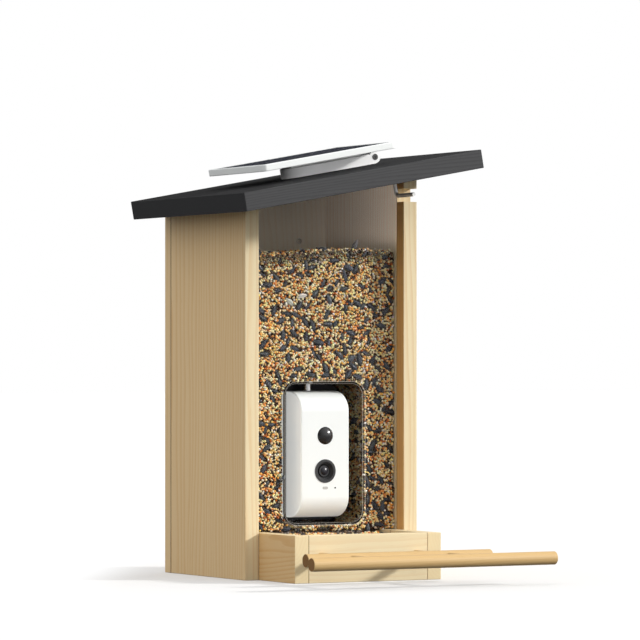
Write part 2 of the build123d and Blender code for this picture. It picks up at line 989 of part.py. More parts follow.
# Power button in the rear cover's right wall, and its switch
button_y = case_rear_y - button_inset
button_height = case_bottom + button_lift
button_out = Location((case_half + button_proud, button_y, button_height), FACE_LEFT)
power_button = bar(button_radius, button_proud + case_wall + press_clearance, button_out)
power_button = fillet(
    power_button.edges().filter_by(GeomType.CIRCLE).sort_by(Axis.X)[-1], button_proud / 3
)
button_inner_x = case_half - case_wall - press_clearance
power_button += bar(
    button_radius + button_flange_width,
    button_flange,
    Location((button_inner_x, button_y, button_height), FACE_LEFT),
)
save("power_button", power_button)
rear_cover -= bar(
    button_radius + press_clearance,
    case_wall + 2 * overrun,
    Location((case_half + overrun, button_y, button_height), FACE_LEFT),
)
switch_x = button_inner_x - button_flange - button_travel - press_clearance
power_switch = block(
    (switch_x - switch_size / 2, button_y - switch_size / 2, button_height - switch_size / 2),
    (switch_x, case_inner_rear, button_height + switch_size / 2),
)
save("power_switch", power_switch)

# Threaded insert in a boss of the rear cover's top, with the sleeve and the screw above it
insert_top = Location((0, mount_y, case_top), FACE_DOWN)
boss = bar(insert_radius + insert_wall, insert_length + insert_wall, insert_top)
rear_cover += boss & case_slice(seal_rear_y, case_rear_y - case_wall / 2)
rear_cover -= bar(insert_radius + press_clearance, insert_length + press_clearance, insert_top)
thread_insert = bar(insert_radius, insert_length, insert_top)
thread_insert -= bar(mount_hole_radius, insert_length + overrun, insert_top)
mount_sleeve = bar(sleeve_radius, sleeve_length, Location((0, mount_y, case_top)))
mount_sleeve -= bar(mount_hole_radius, sleeve_length, Location((0, mount_y, case_top)))
mount_head = bar(mount_head_radius, mount_head_height, Location((0, mount_y, mount_head_z)))
mount_head = fillet(
    mount_head.edges().filter_by(GeomType.CIRCLE).sort_by(Axis.Z)[-1], mount_head_height / 2
)
mount_screw = mount_head + bar(
    mount_screw_radius,
    mount_head_z - case_top + insert_length,
    Location((0, mount_y, mount_head_z), FACE_DOWN),
)
save("thread_insert", thread_insert)
save("mount_sleeve", mount_sleeve)
save("mount_screw", mount_screw)
save("camera_rear_cover", rear_cover)


# Seed in the hopper, round the pocket, and seed that has run under the window into the tray
seed_floor = floor_board + seed_clearance
seed_height = left_height - seed_drop
seed_side_x = inner_x - seed_clearance
tray_seed_side_x = tray_inner_x - seed_clearance
seed_rear_y = hopper_rear_y - seed_clearance
hopper_front_y = window_back_y + seed_clearance
hopper_seed = block(
    (-seed_side_x, hopper_front_y, tray_height + seed_clearance),
    (seed_side_x, seed_rear_y, seed_height),
)
hopper_seed += block(
    (-tray_seed_side_x, hopper_front_y, seed_floor),
    (tray_seed_side_x, seed_rear_y, tray_height + 2 * seed_clearance),
)
hopper_seed -= pocket_block(pocket_wall + seed_clearance, pocket_depth + pocket_wall + seed_clearance)
hopper_seed -= bar(
    mount_head_radius + seed_clearance,
    mount_head_height + 2 * seed_clearance,
    Location((0, mount_y, mount_head_z - seed_clearance)),
)
for place in dock_screw_places:
    hopper_seed -= bar(
        dock_nut_radius + seed_clearance,
        dock_screw_length,
        Location((0, dock_rear_y, place.position.Z), FACE_BACK),
    )


def seed_hollows(face, wide, tall, is_clear):
    """Shallow hollows between the larger seeds, in staggered rows over a face that points inwards."""
    hollows = []
    for row in range(int(tall / hollow_pitch)):
        stagger = row % 2
        for column in range(int(wide / hollow_pitch) - stagger):
            across = (column + (1 + stagger) / 2) * hollow_pitch - wide / 2
            down = (row + 1 / 2) * hollow_pitch - tall / 2
            if is_clear(across, down):
                turn = Rot(0, 0, hollow_turn if (row + column) % 2 else -hollow_turn)
                outline = face * Pos(across, down) * turn * Rectangle(hollow_length, hollow_width)
                hollows.append(extrude(outline, hollow_depth, taper=hollow_slope))
    return hollows


front_tall = seed_height - tray_height
front_middle = (seed_height + tray_height) / 2


def clear_of_pocket(across, down):
    """True where a hollow on the seed's front face stays outside the pocket's wall."""
    margin = pocket_wall + seed_clearance + hollow_length
    beside = abs(across) > pocket_width / 2 + margin
    return beside or abs(front_middle - down - pocket_middle) > pocket_height / 2 + margin


front_face = Plane((0, hopper_front_y, front_middle), x_dir=(1, 0, 0), z_dir=(0, 1, 0))
top_face = Plane((0, (hopper_front_y + seed_rear_y) / 2, seed_height), x_dir=(1, 0, 0), z_dir=(0, 0, -1))
for hollow in seed_hollows(front_face, 2 * seed_side_x, front_tall, clear_of_pocket):
    hopper_seed -= hollow
for hollow in seed_hollows(top_face, 2 * seed_side_x, seed_rear_y - hopper_front_y, lambda *place: True):
    hopper_seed -= hollow
save("hopper_seed", hopper_seed)
tray_seed_front_y = tray_front_y + tray_board + seed_clearance
tray_seed_outline = Polyline(
    (tray_seed_front_y, seed_floor),
    (tray_seed_front_y, tray_height - tray_seed_front_drop),
    (window_y, tray_height - tray_seed_back_drop),
    (window_back_y, tray_height - tray_seed_back_drop),
    (window_back_y, seed_floor),
    close=True,
)
tray_seed_face = Plane((-tray_seed_side_x, 0, 0), x_dir=(0, 1, 0), z_dir=(1, 0, 0)) * make_face(
    tray_seed_outline
)
tray_seed = extrude(tray_seed_face, 2 * tray_seed_side_x, dir=(1, 0, 0))
tray_rise = tray_seed_front_drop - tray_seed_back_drop
tray_run = window_y - tray_seed_front_y
tray_face = Plane(
    (0, (window_y + tray_seed_front_y) / 2, tray_height - tray_seed_front_drop + tray_rise / 2),
    x_dir=(1, 0, 0),
    z_dir=(0, tray_rise, -tray_run),
)
tray_slope_length = sqrt(tray_run**2 + tray_rise**2)
for hollow in seed_hollows(tray_face, 2 * tray_seed_side_x, tray_slope_length, lambda *place: True):
    tray_seed -= hollow
save("tray_seed", tray_seed)

# Latch hook: bent wire that screws up into the roof, shown turned out of its notch
roof_sine = sin(radians(roof_pitch))
roof_cosine = cos(radians(roof_pitch))
hook_along = (outer_x + inner_x - hook_inset - hook_drop * roof_sine) / roof_cosine
hook_y = front_y + hook_setback
hook_frame = on_roof(hook_along, hook_y, 0) * Location((0, 0, 0), (0, 0, -hook_rest_turn))
hook_path = FilletPolyline(
    (0, 0, hook_bite), (0, 0, -hook_drop), (hook_reach, 0, -hook_drop), radius=hook_bend
)
hook_section = Plane((0, 0, hook_bite), z_dir=(0, 0, -1)) * Circle(hook_radius)
latch_hook = sweep(hook_section, path=hook_path)
save("latch_hook", hook_frame * latch_hook)

# Solar panel's base on the roof: round at one end, with two lugs at the other
panel_centre_y = front_y + panel_setback + panel_depth / 2
pivot_along = panel_inset + panel_length - pivot_inset
pivot_above = roof_board + pivot_height
base_left = pivot_along + lug_radius - base_length
base_half = base_width / 2
base_face = Pos(base_left + base_half, 0) * Circle(base_half)
straight = pivot_along - base_left - base_half
base_face += Pos(pivot_along - straight / 2, 0) * Rectangle(straight, base_width)
base_block = extrude(Pos(0, panel_centre_y, roof_board) * base_face, base_height)
base_top = base_block.edges().group_by(Axis.Z)[-1]
base_block = fillet(base_top, base_round)
slot_left = pivot_along - arm_tongue - arm_clearance
slot_half = base_half - lug_width
front_lug_y = panel_centre_y - base_half
rear_lug_y = panel_centre_y + base_half
for start in (front_lug_y, rear_lug_y - lug_width):
    base_block += bar(lug_radius, lug_width, Location((pivot_along, start, pivot_above), FACE_BACK))
base_block -= block(
    (slot_left, panel_centre_y - slot_half, roof_board - overrun),
    (pivot_along + 2 * lug_radius, panel_centre_y + slot_half, roof_board + 2 * base_height),
)
base_block -= bar(
    pivot_radius + pivot_clearance,
    base_width + 2 * overrun,
    Location((pivot_along, front_lug_y - overrun, pivot_above), FACE_BACK),
)
base_block -= bar(
    pivot_head_radius + press_clearance,
    head_seat + overrun,
    Location((pivot_along, front_lug_y - overrun, pivot_above), FACE_BACK),
)
base_block = roof_frame * base_block
base_screw_places = [
    on_roof(along, panel_centre_y, roof_board + base_height)
    for along in (base_left + base_half, slot_left - base_screw_margin)
]
base_screws = []
base_screw_holes = []
for place in base_screw_places:
    base_screws.append(
        wood_screw(wood_screw_radius, wood_screw_head_radius, base_screw_length, place)
    )
    base_screw_holes.append(
        wood_screw(
            wood_screw_radius, wood_screw_head_radius, base_screw_length, place, screw_clearance
        )
    )
for hole in base_screw_holes:
    base_block -= hole
save("solar_base", base_block)
save("solar_base_screws", *base_screws)

# Pivot screw and nut
pivot_start = on_roof(pivot_along, front_lug_y + head_seat, pivot_above, FACE_FRONT)
nut_start = on_roof(pivot_along, rear_lug_y, pivot_above, FACE_BACK)
pivot_screw = pan_screw(
    pivot_radius,
    pivot_head_radius,
    pivot_head_height,
    base_width - head_seat + pivot_nut_height,
    pivot_start,
)
pivot_nut = hexagon(pivot_nut_radius, pivot_nut_height, nut_start)
pivot_nut -= bar(pivot_radius + press_clearance, pivot_nut_height, nut_start)
save("pivot_screw", pivot_screw)
save("pivot_nut", pivot_nut)

# Tilting arm under the panel, with its tongue between the lugs
panel_low = roof_board + panel_height
arm_low = roof_board + base_height + arm_clearance
arm_half = base_half - arm_margin
tongue_half = slot_half - arm_clearance
solar_arm = block(
    (base_left + arm_margin, panel_centre_y - arm_half, arm_low),
    (slot_left, panel_centre_y + arm_half, panel_low),
)
solar_arm += block(
    (slot_left - overrun, panel_centre_y - tongue_half, arm_low),
    (pivot_along, panel_centre_y + tongue_half, panel_low),
)
eye_radius = lug_radius - arm_clearance
eye_start = Location((pivot_along, panel_centre_y - tongue_half, pivot_above), FACE_BACK)
solar_arm += bar(eye_radius, 2 * tongue_half, eye_start)
solar_arm -= bar(pivot_radius + pivot_clearance, 2 * tongue_half, eye_start)
solar_arm = roof_frame * solar_arm
panel_screw_places = [
    on_roof(along, panel_centre_y + end * arm_half / 2, arm_low, FACE_DOWN)
    for along in (base_left + arm_margin + panel_screw_margin, slot_left - panel_screw_margin)
    for end in (-1, 1)
]

# Panel frame, cell board and clear cover
panel_right = panel_inset + panel_length
panel_low_y = panel_centre_y - panel_depth / 2
panel_high_y = panel_centre_y + panel_depth / 2
panel_top = panel_low + panel_thickness
solar_frame = block(
    (panel_inset, panel_low_y, panel_low), (panel_right, panel_high_y, panel_top)
)
solar_frame = fillet(solar_frame.edges().filter_by(Axis.Z), panel_corner)
solar_frame = fillet(
    solar_frame.faces().sort_by(Axis.Z)[0].edges() + solar_frame.faces().sort_by(Axis.Z)[-1].edges(),
    panel_round,
)
recess_depth = cell_board + cover_sheet + panel_clearance


def panel_sheet(clearance, low, high):
    """A sheet that fills the frame's recess, less a clearance all round."""
    edge = panel_border + clearance
    return block(
        (panel_inset + edge, panel_low_y + edge, low), (panel_right - edge, panel_high_y - edge, high)
    )


solar_frame -= panel_sheet(0, panel_top - recess_depth, panel_top + overrun)
cell_low_n = panel_top - recess_depth
solar_cells = panel_sheet(panel_clearance, cell_low_n, cell_low_n + cell_board)
solar_cover = panel_sheet(
    panel_clearance, cell_low_n + cell_board, cell_low_n + cell_board + cover_sheet
)
solar_frame = roof_frame * solar_frame
panel_screws = []
for place in panel_screw_places:
    panel_screws.append(
        wood_screw(panel_screw_radius, panel_screw_head_radius, panel_screw_length, place)
    )
    hole = wood_screw(
        panel_screw_radius, panel_screw_head_radius, panel_screw_length, place, screw_clearance
    )
    solar_arm -= hole
    solar_frame -= hole
save("solar_arm", solar_arm)
save("solar_arm_screws", *panel_screws)
save("solar_frame", solar_frame)
save("solar_cells", roof_frame * solar_cells)
save("solar_cover", roof_frame * solar_cover)

# Junction box under the panel, with the gland that its lead would leave by
junction_left = panel_inset + junction_inset
junction_front_y = rear_lug_y + junction_gap
junction_box = block(
    (junction_left, junction_front_y, panel_low - junction_height),
    (junction_left + junction_length, junction_front_y + junction_width, panel_low),
)
junction_box = fillet(junction_box.edges().filter_by(Axis.Z), base_round)
gland_place = Location(
    (
        junction_left + junction_length / 2,
        junction_front_y + junction_width,
        panel_low - junction_height / 2,
    ),
    FACE_BACK,
)
junction_box += bar(gland_radius, gland_length, gland_place)
junction_box -= bar(gland_bore, 2 * gland_length, gland_place)
save("junction_box", roof_frame * junction_box)

# Roof board
roof_panel = block(
    (-roof_overhang_side, front_y - roof_overhang_front, 0),
    (roof_slope_width + roof_overhang_side, rear_y, roof_board),
)
roof_panel = roof_frame * fillet(roof_panel.edges(), roof_round)
roof_panel -= bar(
    hook_radius + hook_clearance, hook_bite + overrun, on_roof(hook_along, hook_y, 0)
)
for hole in base_screw_holes:
    roof_panel -= hole
for place in roof_places:
    roof_panel -= hinge_screw(place, screw_clearance)
save("roof_board", roof_panel)
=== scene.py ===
import math

import bpy
import numpy as np
from mathutils import Matrix, Vector


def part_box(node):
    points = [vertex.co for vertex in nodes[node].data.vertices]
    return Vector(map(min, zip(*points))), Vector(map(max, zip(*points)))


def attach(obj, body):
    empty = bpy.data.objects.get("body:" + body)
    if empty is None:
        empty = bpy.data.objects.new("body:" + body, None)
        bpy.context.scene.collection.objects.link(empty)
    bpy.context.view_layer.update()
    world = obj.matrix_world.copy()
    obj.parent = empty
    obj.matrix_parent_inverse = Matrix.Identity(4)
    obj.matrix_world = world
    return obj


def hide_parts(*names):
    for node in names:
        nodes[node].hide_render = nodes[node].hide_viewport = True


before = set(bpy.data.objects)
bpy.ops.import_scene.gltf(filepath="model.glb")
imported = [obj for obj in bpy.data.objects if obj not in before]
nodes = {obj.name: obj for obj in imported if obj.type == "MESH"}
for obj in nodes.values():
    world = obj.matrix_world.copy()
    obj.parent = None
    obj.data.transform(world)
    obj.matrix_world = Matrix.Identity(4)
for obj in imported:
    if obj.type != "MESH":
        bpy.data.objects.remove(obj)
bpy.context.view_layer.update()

scene = bpy.context.scene
scene.view_settings.view_transform = "Standard"

# Camera: a long lens, level, at the feeder's front left, as the photograph was taken.
# The frame is shifted up, so that the whole feeder shows with its uprights upright.
SENSOR_WIDTH = 36
LENS_LENGTH = 218.9
FRAME_SHIFT = 0.0657
CLIP_END = 60
CAMERA_PLACE = (-1.8384, -3.3582, 0.2083)
CAMERA_TURN = math.radians(-29.14)
camera_data = bpy.data.cameras.new("photo_view")
camera_data.sensor_width = SENSOR_WIDTH
camera_data.lens = LENS_LENGTH
camera_data.shift_y = FRAME_SHIFT
camera_data.clip_end = CLIP_END
camera = bpy.data.objects.new("photo_view", camera_data)
camera.location = CAMERA_PLACE
camera.rotation_euler = (math.radians(90), 0, CAMERA_TURN)
scene.collection.objects.link(camera)
scene.camera = camera


# Studio: white surroundings light the feeder evenly from all round, and a wide lamp stands at the
# upper right in front. Glossy parts mirror a room that is bright towards the lamp and dim elsewhere.
def put(tree, kind, feeds=None, **settings):
    """Add a shader node. A feed goes to the input it names: a socket is linked, a value is set."""
    made = tree.nodes.new(kind)
    for key, value in settings.items():
        setattr(made, key, value)
    for place, feed in (feeds or {}).items():
        if isinstance(feed, bpy.types.NodeSocket):
            tree.links.new(feed, made.inputs[place])
        else:
            made.inputs[place].default_value = feed
    return made


def calculate(tree, operation, first, second=0.0, third=0.0):
    """One step of arithmetic in a node tree."""
    step = put(tree, "ShaderNodeMath", {0: first, 1: second, 2: third}, operation=operation)
    return step.outputs[0]


def run_of(tree, value, start, end, low=0.0, high=1.0, interpolation="LINEAR"):
    """A run from low to high while a value goes from start to end."""
    run = put(
        tree,
        "ShaderNodeMapRange",
        {"Value": value, "From Min": start, "From Max": end, "To Min": low, "To Max": high},
        interpolation_type=interpolation,
    )
    return run.outputs[0]


def toward(tree, vector, way):
    """How far a vector goes along a way."""
    return put(tree, "ShaderNodeVectorMath", {0: vector, 1: way}, operation="DOT_PRODUCT").outputs["Value"]


def sun(name, way, level, spread):
    """A lamp that shines from one way, with shadows as soft as its spread is wide."""
    data = bpy.data.lights.new(name, "SUN")
    data.energy = level
    data.angle = spread
    lamp = bpy.data.objects.new(name, data)
    lamp.rotation_euler = Vector(way).to_track_quat("Z", "Y").to_euler()
    scene.collection.objects.link(lamp)
    return lamp


KEY_WAY = Vector((1.58, -1.0, 0.80)).normalized()
KEY_LEVEL = 3.1
KEY_SPREAD = math.radians(6.5)
KEY_COLOUR = (1.0, 0.985, 0.955)
ROOM_LEVEL = 1.0
SEEN_LEVEL = 1.0
GLOSS_LOW = 0.15
GLOSS_HIGH = 1.7
world = bpy.data.worlds.new("studio")
scene.world = world
world.use_nodes = True
sky = world.node_tree
sky.nodes.clear()
view = put(sky, "ShaderNodeTexCoord")
rays = put(sky, "ShaderNodeLightPath")
lampward = toward(sky, view.outputs["Generated"], KEY_WAY)
mirrored = run_of(sky, lampward, 0.0, 1.0, GLOSS_LOW, GLOSS_HIGH)
seen = calculate(sky, "MAXIMUM", rays.outputs["Is Camera Ray"], rays.outputs["Is Transmission Ray"])
even_room = put(sky, "ShaderNodeBackground", {"Strength": ROOM_LEVEL})
gloss_room = put(sky, "ShaderNodeBackground", {"Strength": mirrored})
white_room = put(sky, "ShaderNodeBackground", {"Strength": SEEN_LEVEL})
for background in (even_room, gloss_room, white_room):
    background.inputs["Color"].default_value = (1, 1, 1, 1)
lit_room = put(
    sky,
    "ShaderNodeMixShader",
    {0: rays.outputs["Is Glossy Ray"], 1: even_room.outputs[0], 2: gloss_room.outputs[0]},
)
surroundings = put(
    sky, "ShaderNodeMixShader", {0: seen, 1: lit_room.outputs[0], 2: white_room.outputs[0]}
)
put(sky, "ShaderNodeOutputWorld", {0: surroundings.outputs[0]})
sun("wide_lamp", KEY_WAY, KEY_LEVEL, KEY_SPREAD).data.color = KEY_COLOUR

# Fill lamps: in the photograph the side of the camera's case and the solar bracket are lighter than
# the lamp and the room make them, so each of the two has a soft lamp that lights it alone.
FILL_SPREAD = math.radians(25)
# Each lamp's way, its level and the pieces that it lights
FILLS = (
    ("camera_fill", (-0.8, 0.0, -0.62), 1.95, ("camera_front_cover", "camera_rear_cover")),
    ("bracket_fill", (0.2, -1.0, -0.25), 0.75, ("solar_base", "solar_arm")),
)
for name, way, fill_level, lit in FILLS:
    lamp = sun(name, way, fill_level, FILL_SPREAD)
    lamp.visible_glossy = False
    lit_pieces = bpy.data.collections.new(name)
    for piece in lit:
        lit_pieces.objects.link(nodes[piece])
    lamp.light_linking.receiver_collection = lit_pieces
    lamp.light_linking.blocker_collection = lit_pieces

# Floor: pale paint that keeps the feeder's shadow and throws little light up at it. Where it is seen,
# a glow of its own makes the lit paint white, and past the near reach takes over, so the shadow fades.
FLOOR_SIZE = 40
FLOOR_DARK = 0.10
FLOOR_MIRRORED = 0.4
PAINT_NEAR = 0.60
PAINT_FAR = 0.03
NEAR_REACH = 0.125
FAR_REACH = 0.225
SHADOW_WAY = Vector((-KEY_WAY.x, -KEY_WAY.y, 0)).normalized()
FLOOR_LIGHT = 1.39
FLOOR_WHITE = 1.06
bpy.ops.object.select_all(action="DESELECT")
bpy.ops.mesh.primitive_plane_add(size=FLOOR_SIZE, location=(0, 0, 0))
floor = bpy.context.object
floor.name = "studio_floor"
floor_material = bpy.data.materials.new("studio_floor")
floor_material.use_nodes = True
tree = floor_material.node_tree
tree.nodes.clear()
rays = put(tree, "ShaderNodeLightPath")
seen_straight = calculate(
    tree, "MAXIMUM", rays.outputs["Is Camera Ray"], rays.outputs["Is Transmission Ray"]
)
seen_mirrored = calculate(tree, "MULTIPLY", rays.outputs["Is Glossy Ray"], FLOOR_MIRRORED)
seen = calculate(tree, "MAXIMUM", seen_straight, seen_mirrored)
place = put(tree, "ShaderNodeTexCoord")
reach = toward(tree, place.outputs["Object"], SHADOW_WAY)
paint_share = run_of(tree, reach, NEAR_REACH, FAR_REACH, PAINT_NEAR, PAINT_FAR, "SMOOTHERSTEP")
paint = put(
    tree, "ShaderNodeBsdfDiffuse", {"Color": run_of(tree, seen, 0.0, 1.0, FLOOR_DARK, paint_share)}
)
makes_white = calculate(tree, "MULTIPLY_ADD", paint_share, -FLOOR_LIGHT, FLOOR_WHITE)
glow = put(tree, "ShaderNodeEmission", {"Strength": calculate(tree, "MULTIPLY", seen, makes_white)})
painted = put(tree, "ShaderNodeAddShader", {0: paint.outputs[0], 1: glow.outputs[0]})
put(tree, "ShaderNodeOutputMaterial", {0: painted.outputs[0]})
floor.data.materials.append(floor_material)


# Pine boards: the sides, back, floor and tray are planed softwood, screwed together, with the tray's
# front pinned by dowels. Each is cut from its own part of a tree, and has growth rings along its
# length, fine fibres, slightly darker ends and a thin dark line where another board butts on it.
def mix_colour(tree, factor, first, second, blend_type="MIX"):
    """The colour between two, by a factor."""
    mixed = put(
        tree, "ShaderNodeMix", {0: factor, 6: first, 7: second}, data_type="RGBA", blend_type=blend_type
    )
    return mixed.outputs[2]


def stretched_noise(tree, vector, scale, detail=3.0, roughness=0.5):
    """Noise whose blobs are stretched by a different scale along each axis."""
    mapped = put(tree, "ShaderNodeMapping", {"Vector": vector, "Scale": scale})
    noise = put(
        tree,
        "ShaderNodeTexNoise",
        {"Vector": mapped.outputs[0], "Scale": 1.0, "Detail": detail, "Roughness": roughness},
    )
    return noise.outputs[0]


def stepped_ramp(tree, factor, stops):
    """A ramp from a value to a grey or a colour, through stops."""
    ramp = put(tree, "ShaderNodeValToRGB", {0: factor})
    elements = ramp.color_ramp.elements
    while len(elements) < len(stops):
        elements.new(0.5)
    for element, (place, colour) in zip(elements, stops):
        element.position = place
        element.color = colour if isinstance(colour, tuple) else (colour, colour, colour, 1)
    return ramp.outputs[0]


def round_spot(tree, place, centre, radius):
    """1 within a radius of an axis that runs from front to back, and 0 outside."""
    upright = put(
        tree, "ShaderNodeVectorMath", {0: place.outputs["Object"], 1: (1, 0, 1)}, operation="MULTIPLY"
    )
    off_axis = put(tree, "ShaderNodeVectorMath", {0: upright.outputs[0], 1: centre}, operation="DISTANCE")
    return calculate(tree, "LESS_THAN", off_axis.outputs["Value"], radius)


def new_finish(name):
    """A new material, its node tree and its shader."""
    material = bpy.data.materials.new(name)
    material.use_nodes = True
    return material, material.node_tree, material.node_tree.nodes["Principled BSDF"]


def roughen(tree, shader, value, change, middle):
    """A roughness that goes with a value, by a change round its middle."""
    rough = calculate(tree, "MULTIPLY_ADD", value, change, middle - change / 2)
    tree.links.new(rough, shader.inputs["Roughness"])


def emboss(tree, shader, height, strength, distance, invert=False):
    """Fine relief that goes with a height."""
    feeds = {"Height": height, "Strength": strength, "Distance": distance}
    bump = put(tree, "ShaderNodeBump", feeds, invert=invert)
    tree.links.new(bump.outputs[0], shader.inputs["Normal"])


MM = 0.001
WANDER_SCALE = (16, 16, 3.2)
YEAR_SCALE = (90, 90, 4)
FIBRE_SCALE = (900, 900, 18)
TONE_SCALE = (26, 26, 4)
FLECK_SCALE = (1500, 1500, 70)
YEAR_CHANGE = 1.3
WANDER_REACH = 2.0
RING_STOPS = [(0.0, 0.1), (0.45, 0.22), (0.86, 1.0), (0.96, 0.75), (1.0, 0.1)]
FLECK_STOPS = [(0.62, 0.0), (0.74, 1.0)]
timber = bpy.data.node_groups.new("timber", "ShaderNodeTree")
for label in ("Vector", "Ring Spacing", "Waviness"):
    kind = "NodeSocketVector" if label == "Vector" else "NodeSocketFloat"
    timber.interface.new_socket(name=label, in_out="INPUT", socket_type=kind)
for label in ("Rings", "Fibre", "Tone", "Flecks"):
    timber.interface.new_socket(name=label, in_out="OUTPUT", socket_type="NodeSocketFloat")
timber_in = timber.nodes.new("NodeGroupInput")
timber_out = timber.nodes.new("NodeGroupOutput")
log = timber_in.outputs["Vector"]
wander = calculate(timber, "SUBTRACT", stretched_noise(timber, log, WANDER_SCALE, detail=2.0), 0.5)
shift = calculate(timber, "MULTIPLY", wander, timber_in.outputs["Waviness"])
across = put(timber, "ShaderNodeVectorMath", {0: log, 1: (1, 1, 0)}, operation="MULTIPLY")
radius = put(timber, "ShaderNodeVectorMath", {0: across.outputs[0]}, operation="LENGTH")
bent = calculate(timber, "MULTIPLY_ADD", shift, WANDER_REACH, radius.outputs["Value"])
count = calculate(timber, "DIVIDE", bent, timber_in.outputs["Ring Spacing"])
year = stretched_noise(timber, log, YEAR_SCALE, detail=1.0)
part_of_year = calculate(timber, "FRACT", calculate(timber, "MULTIPLY_ADD", year, YEAR_CHANGE, count))
rings = stepped_ramp(timber, part_of_year, RING_STOPS)
fibre = stretched_noise(timber, log, FIBRE_SCALE, detail=3.0, roughness=0.6)
tone = stretched_noise(timber, log, TONE_SCALE, detail=2.0)
flecks = stepped_ramp(timber, stretched_noise(timber, log, FLECK_SCALE, detail=1.0), FLECK_STOPS)
for label, value in (("Rings", rings), ("Fibre", fibre), ("Tone", tone), ("Flecks", flecks)):
    timber.links.new(value, timber_out.inputs[label])

WAVINESS = 2.2
TONE_LEVEL = 0.75
FIBRE_LEVEL = 0.22
FLECK_LEVEL = 0.16
END_STOPS = [(0.8, 0.0), (0.97, 1.0)]
END_BLUR = 0.65
FACE_STOPS = [(0.6, 0.0), (0.8, 1.0)]
FIBRE_ROUGHNESS = 0.2
RING_RELIEF = 0.35
WOOD_BUMP = 0.35
WOOD_RELIEF = 0.12 * MM
WOOD_GLOSS = 0.4
JOINT_SHADE = (0.30, 0.19, 0.10, 1)
TIGHT_JOINT = 0.45 * MM
OPEN_JOINT = 1.9 * MM
HOLE_RADIUS = 2.9 * MM
HOLE_SHADE = (0.50, 0.56, 0.66, 1)


def wood(
    name,
    turn,
    pith,
    tilt,
    colours,
    end_colour,
    ring_spacing,
    ring_level,
    roughness,
    gloss=WOOD_GLOSS,
    tints=(),
    joints=(),
    holes=(),
):
    """A board's finish. The turn brings its length to Z, the pith is the tree's centre from there, and
    the tilt leans the tree. A tint is a way that faces look, the painted warm shade, painted light or
    painted shade that it gives them, and how far back it goes. A joint is an axis, a place on it and half
    the width of the dark line that another board leaves there. A hole is a point on the axis of a bore,
    whose wall gets painted shade."""
    pale, ring, deep = colours
    material, tree, shader = new_finish(name)
    shader.inputs["Specular IOR Level"].default_value = gloss
    place = put(tree, "ShaderNodeTexCoord")
    turned = put(tree, "ShaderNodeMapping", {"Vector": place.outputs["Object"], "Rotation": turn})
    leaned = put(
        tree, "ShaderNodeMapping", {"Vector": turned.outputs[0], "Location": pith, "Rotation": tilt}
    )
    grain = put(
        tree,
        "ShaderNodeGroup",
        {"Vector": leaned.outputs[0], "Ring Spacing": ring_spacing, "Waviness": WAVINESS * ring_spacing},
        node_tree=timber,
    )
    tone_share = calculate(tree, "MULTIPLY", grain.outputs["Tone"], TONE_LEVEL)
    ring_share = calculate(tree, "MULTIPLY", grain.outputs["Rings"], ring_level)
    fibre_share = calculate(tree, "MULTIPLY", grain.outputs["Fibre"], FIBRE_LEVEL)
    fleck_share = calculate(tree, "MULTIPLY", grain.outputs["Flecks"], FLECK_LEVEL)
    toned = mix_colour(tree, tone_share, pale, deep)
    ringed = mix_colour(tree, ring_share, toned, ring)
    fibred = mix_colour(tree, fibre_share, ringed, ring)
    flecked = mix_colour(tree, fleck_share, fibred, ring, "MULTIPLY")
    facing = put(tree, "ShaderNodeMapping", {"Vector": place.outputs["Normal"], "Rotation": turn})
    along = put(tree, "ShaderNodeSeparateXYZ", {0: facing.outputs[0]})
    end = stepped_ramp(tree, calculate(tree, "ABSOLUTE", along.outputs["Z"]), END_STOPS)
    blurred = mix_colour(tree, calculate(tree, "MULTIPLY", end, END_BLUR), flecked, pale)
    finished = mix_colour(tree, end, blurred, end_colour, "MULTIPLY")
    if joints or tints:
        spot = put(tree, "ShaderNodeSeparateXYZ", {0: place.outputs["Object"]})
    # Painted shade and painted light on the faces that look one way
    for looks, face_tint, last_y in tints:
        such_face = stepped_ramp(tree, toward(tree, place.outputs["Normal"], looks), FACE_STOPS)
        in_front = calculate(tree, "LESS_THAN", spot.outputs["Y"], last_y)
        tinted = calculate(tree, "MULTIPLY", such_face, in_front)
        finished = mix_colour(tree, tinted, finished, face_tint, "MULTIPLY")
    for axis, where, half_width in joints:
        off = calculate(tree, "ABSOLUTE", calculate(tree, "SUBTRACT", spot.outputs[axis], where))
        line = calculate(tree, "LESS_THAN", off, half_width)
        finished = mix_colour(tree, line, finished, JOINT_SHADE, "MULTIPLY")
    # Painted shade on the walls of the bores
    for centre in holes:
        bore = round_spot(tree, place, centre, HOLE_RADIUS)
        finished = mix_colour(tree, bore, finished, HOLE_SHADE, "MULTIPLY")
    tree.links.new(finished, shader.inputs["Base Color"])
    roughen(tree, shader, grain.outputs["Fibre"], FIBRE_ROUGHNESS, roughness)
    relief = calculate(tree, "MULTIPLY_ADD", grain.outputs["Rings"], RING_RELIEF, grain.outputs["Fibre"])
    emboss(tree, shader, relief, WOOD_BUMP, WOOD_RELIEF)
    return material


def dress(material, *names):
    """Give CAD pieces a finish through their own slots."""
    for name in names:
        for slot in nodes[name].material_slots:
            slot.material = material


